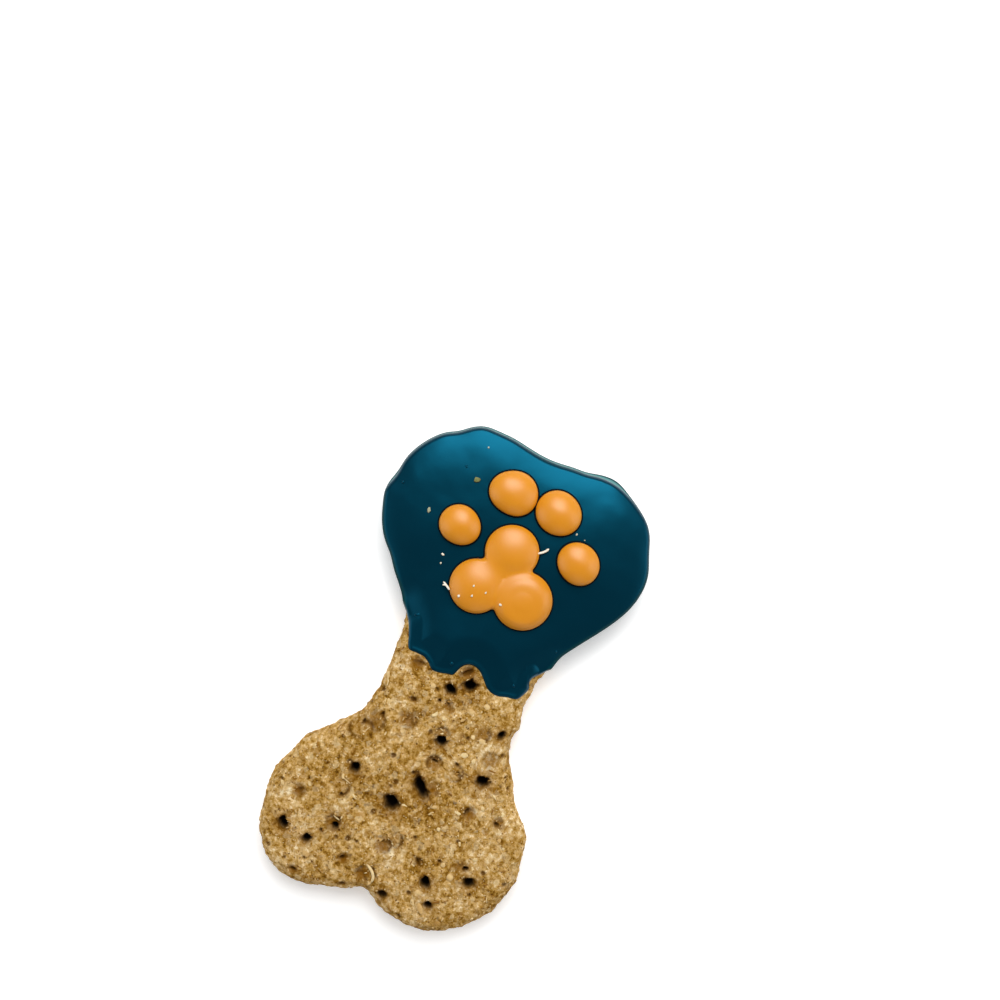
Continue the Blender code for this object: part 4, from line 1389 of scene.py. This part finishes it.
def add_node(tree, kind, sockets, stops=(), **fields):
    """Adds a shader node with its sockets, colour stops and fields set."""
    node = tree.nodes.new("ShaderNode" + kind)
    for key, value in fields.items():
        setattr(node, key, value)
    connect(tree, node, sockets)
    for place, (position, value) in enumerate(stops):
        elements = node.color_ramp.elements
        element = elements[place] if place < 2 else elements.new(position)
        element.position, element.color = position, colour(value)
    return node


def new_material(name, fixed):
    """A material whose shader has the given fixed values, with its tree, shader and Object coordinates."""
    material = bpy.data.materials.new(name)
    material.use_nodes = True
    tree = material.node_tree
    surface = tree.nodes["Principled BSDF"]
    connect(tree, surface, fixed)
    return material, tree, surface, add_node(tree, "TexCoord", {}).outputs["Object"]


def baked_dough():
    """Wholemeal dough rolled, cut, docked and baked hard: a dry matt crumb.

    Patches and noise of ground meal run from brown to cream through one ramp; single cells of bran and oat
    are mixed in; the crust's own attributes add brown round holes and in dishes, partly painted shade,
    painted shade in broken pits and grooves, and near-black painted shade in the holes.
    """
    material, tree, surface, place = new_material(
        "baked_wholemeal_dough", {"Roughness": 0.92, "Specular IOR Level": 0.08}
    )
    meal_size = {"Vector": place, "Scale": 1.0 / (MEAL * MM)}
    meal = add_node(tree, "TexNoise", {**meal_size, "Detail": 5.0, "Roughness": 0.72, "Distortion": 0.2})
    patch = add_node(tree, "TexNoise", {"Vector": place, "Scale": 1.0 / (PATCH * MM), "Detail": 3.0})
    sockets = {0: patch.outputs["Fac"], 1: 0.4, 2: meal.outputs["Fac"]}
    tone = add_node(tree, "Math", sockets, operation="MULTIPLY_ADD")
    shifted = add_node(tree, "Math", {0: tone.outputs[0], 1: 0.2}, operation="SUBTRACT")
    body = add_node(tree, "ValToRGB", {"Fac": shifted.outputs[0]}, DOUGH_STOPS)
    grain = add_node(tree, "TexVoronoi", {"Vector": place, "Scale": 1.0 / (GRAIN * MM), "Randomness": 1.0})
    kind = add_node(tree, "SeparateColor", {"Color": grain.outputs["Color"]})
    layers = []
    for channel, start, share, tint in DOUGH_GRAINS:
        limits = {"From Min": start, "From Max": 1.0, "To Max": share}
        much = add_node(tree, "MapRange", {"Value": kind.outputs[channel], **limits})
        layers.append((much.outputs[0], tint))
    for name, share, tint in DOUGH_MARKS:
        mark = add_node(tree, "Attribute", {}, attribute_name=name)
        much = add_node(tree, "Math", {0: mark.outputs["Fac"], 1: share}, operation="MULTIPLY")
        layers.append((much.outputs[0], tint))
    mixed = body.outputs[0]
    for much, tint in layers:
        sockets = {0: much, 6: mixed, 7: colour(tint)}
        mixed = add_node(tree, "Mix", sockets, data_type="RGBA").outputs[2]
    fine_size = {"Vector": place, "Scale": 1.0 / (FINE_CRUMB * MM)}
    fine = add_node(tree, "TexNoise", {**fine_size, "Detail": 4.0, "Roughness": 0.7})
    sockets = {"Height": fine.outputs["Fac"], "Strength": 1.0, "Distance": FINE_CRUMB * MM}
    bump = add_node(tree, "Bump", sockets)
    connect(tree, surface, {"Base Color": mixed, "Normal": bump.outputs["Normal"]})
    return material


def scrap_material(name, stops):
    """Dry flakes and grains on the crumb: matt, each scrap with its own tone between the given colours."""
    material, tree, surface, place = new_material(name, {"Roughness": 0.85, "Specular IOR Level": 0.25})
    tone = add_node(tree, "Attribute", {}, attribute_name="tone")
    ramp = add_node(tree, "ValToRGB", {"Fac": tone.outputs["Fac"]}, stops)
    meal_size = {"Vector": place, "Scale": 1.0 / (SCRAP_MEAL * MM)}
    meal = add_node(tree, "TexNoise", {**meal_size, "Detail": 3.0, "Roughness": 0.7}).outputs["Fac"]
    mottle = add_node(tree, "MapRange", {"Value": meal, "From Min": 0.3, "From Max": 0.7, "To Max": 0.6})
    sockets = {0: mottle.outputs[0], 6: ramp.outputs["Color"], 7: colour("#c3aa80")}
    mixed = add_node(tree, "Mix", sockets, data_type="RGBA", blend_type="MULTIPLY")
    bump = add_node(tree, "Bump", {"Height": meal, "Strength": 0.7, "Distance": 0.15 * MM})
    connect(tree, surface, {"Base Color": mixed.outputs[2], "Normal": bump.outputs["Normal"]})
    return material


def teal_coating():
    """Set fat-based compound coating, dipped: deep teal with a soft sheen in the pigment's tint.

    Its foot carries a painted highlight in a pale colour and sheen, strongest where it faces the dipped tip,
    and its sides have nearly no sheen.
    """
    material, tree, surface, place = new_material("set_dipped_coating", {"Roughness": 0.34, "IOR": 1.5})
    pale = add_node(tree, "Attribute", {}, attribute_name="pale").outputs["Fac"]
    side = add_node(tree, "Attribute", {}, attribute_name="side").outputs["Fac"]
    body = add_node(tree, "Mix", {0: side, 6: colour("#011c28"), 7: colour("#01363b")}, data_type="RGBA")
    # The pale colour and tint are a painted highlight on the foot
    highlighted = add_node(tree, "Mix", {0: pale, 6: body.outputs[2], 7: colour("#5f8f8e")}, data_type="RGBA")
    tint = add_node(tree, "Mix", {0: pale, 6: colour("#24b0de"), 7: colour("#9fd0d0")}, data_type="RGBA")
    sheen = add_node(tree, "MapRange", {"Value": side, "To Min": 1.0, "To Max": 0.02})
    soft = add_node(tree, "TexNoise", {"Vector": place, "Scale": 1.0 / (SOFT_LUMPS * MM), "Detail": 4.0})
    bump = add_node(tree, "Bump", {"Height": soft.outputs["Fac"], "Strength": 0.3, "Distance": 0.1 * MM})
    sockets = {
        "Base Color": highlighted.outputs[2],
        "Specular Tint": tint.outputs[2],
        "Specular IOR Level": sheen.outputs[0],
        "Normal": bump.outputs["Normal"],
    }
    connect(tree, surface, sockets)
    return material


def shaded_coating():
    """Painted contact shadow round the drops: a matt, nearly black teal that stands in for the shade where
    each drop meets the coating.
    """
    fixed = {"Base Color": colour("#000b12"), "Roughness": 0.7, "Specular IOR Level": 0.1}
    return new_material("painted_contact_shadow", fixed)[0]


def orange_drops():
    """Orange compound coating piped in drops and set: smooth, satin and a little waxy."""
    fixed = {
        "Base Color": colour("#d1850a"),
        "Roughness": 0.4,
        "IOR": 1.5,
        "Specular IOR Level": 0.6,
        "Subsurface Weight": 0.08,
        "Subsurface Radius": (1.0, 0.5, 0.2),
        "Subsurface Scale": 0.8 * MM,
    }
    return new_material("piped_orange_drops", fixed)[0]


def make_stage():
    """A near-white floor, a pale surround, one large soft light beyond the dipped end and three weak ones."""
    half = FLOOR_HALF
    corners = [(-half, -half, 0.0), (half, -half, 0.0), (half, half, 0.0), (-half, half, 0.0)]
    floor = new_piece("pale_floor", corners, ([[0, 1, 2, 3]], []), smooth=False)
    fixed = {
        "Base Color": colour("#f7f7f7"),
        "Roughness": 0.9,
        "Specular IOR Level": 0.0,
        "Emission Color": colour("#ffffff"),
        "Emission Strength": FLOOR_GLOW,
    }
    floor.data.materials.append(new_material("pale_floor", fixed)[0])
    world = bpy.data.worlds.new("pale_surround")
    world.use_nodes = True
    background = world.node_tree.nodes["Background"]
    connect(world.node_tree, background, {"Color": colour("#ffffff"), "Strength": SURROUND})
    bpy.context.scene.world = world
    target = Vector((*LOOK_AT, 0.0)) * MM
    for name, along, across, height, side, power in LAMPS:
        lamp = bpy.data.lights.new(name, "AREA")
        lamp.size = side * MM
        lamp.energy = power
        obj = link_object(name, lamp)
        place_x = IMAGE_UP[0] * along + IMAGE_UP[1] * across
        place_y = IMAGE_UP[1] * along - IMAGE_UP[0] * across
        obj.location = target + Vector((place_x, place_y, height)) * MM
        obj.rotation_mode = "QUATERNION"
        obj.rotation_quaternion = (target - obj.location).to_track_quat("-Z", "Y")


def make_camera():
    """A camera straight above, turned so that the bone lies as in the photo."""
    data = bpy.data.cameras.new("photo_camera")
    data.sensor_width = SENSOR
    data.lens = SENSOR * (CAMERA_HEIGHT - PHOTO_WIDTH_LEVEL) / PHOTO_WIDTH
    data.clip_start = 0.01
    data.clip_end = 10.0
    camera = link_object("photo_camera", data)
    camera.location = (LOOK_AT[0] * MM, LOOK_AT[1] * MM, CAMERA_HEIGHT * MM)
    camera.rotation_euler = (0.0, 0.0, math.atan2(-IMAGE_UP[0], IMAGE_UP[1]))
    bpy.context.scene.camera = camera


def finish_piece(obj, material, slot, *nodes):
    """Gives a piece its material, lets it ride with the biscuit and hides the model's parts it stands for."""
    obj.data.materials.append(material)
    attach(obj, "root")
    if nodes:
        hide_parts(*nodes)


def crust_level(points, x, y):
    """Height of the crust's upper side at each spot: that of its nearest point."""
    top = points[points[:, 2] > DOUGH_TOP / 2.0]
    return np.array([top[np.argmin(np.hypot(top[:, 0] - px, top[:, 1] - py)), 2] for px, py in zip(x, y)])


def main():
    """Builds every piece, the floor, the light and the camera."""
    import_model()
    bpy.context.scene.view_settings.view_transform = "Standard"
    rng = np.random.default_rng(11)
    teal, orange = teal_coating(), orange_drops()
    crust, *spots = make_crust()
    finish_piece(crust, baked_dough(), "baked_dough", "biscuit")
    scraps = {name: scrap_material(name, kind["stops"]) for name, kind in SCRAPS.items()}
    for name, kind in SCRAPS.items():
        scatter(name, kind, spots, scraps[name], rng)
    flakes = np.array(FLAKES)
    levels = crust_level(spots[0], *flakes.T[:2])
    lay_loose("pressed_flakes", flakes, levels, scraps["oat_flakes"], "baked_dough", rng)
    make_curls("bran_curls", BRAN_CURLS, scraps["bran_shreds"], "baked_dough")
    finish_piece(make_coating(), teal, "dipped_coating", "coating")
    # The fillets' near-black colour is painted contact shadow round the drops
    finish_piece(make_fillets(), shaded_coating(), "dipped_coating")
    pimples = np.array([(*spot, 0.0) for spot in PIMPLES])
    lay_loose("coating_pimples", pimples, coat_height(*pimples.T[:2]), teal, "dipped_coating", rng)
    crumbs = np.array(FALLEN_CRUMBS)
    on_pad = np.where(pad_edge(*crumbs.T[:2]) < 0.0, DROP_BELLY + pad_height(*crumbs.T[:2]), 0.0)
    levels = coat_height(*crumbs.T[:2]) + on_pad + crumbs[:, 2]
    meal = scrap_material("fallen_crumbs", FALLEN_STOPS)
    lay_loose("fallen_crumbs", np.delete(crumbs, 2, axis=1), levels, meal, "baked_dough", rng)
    make_curls("white_curls", WHITE_CURLS, meal, "baked_dough")
    finish_piece(make_pad(), orange, "piped_drops", "paw_pad")
    for index, toe in enumerate(TOES, start=1):
        finish_piece(make_toe(index, toe), orange, "piped_drops", f"toe_{index}")
    make_stage()
    make_camera()


main()
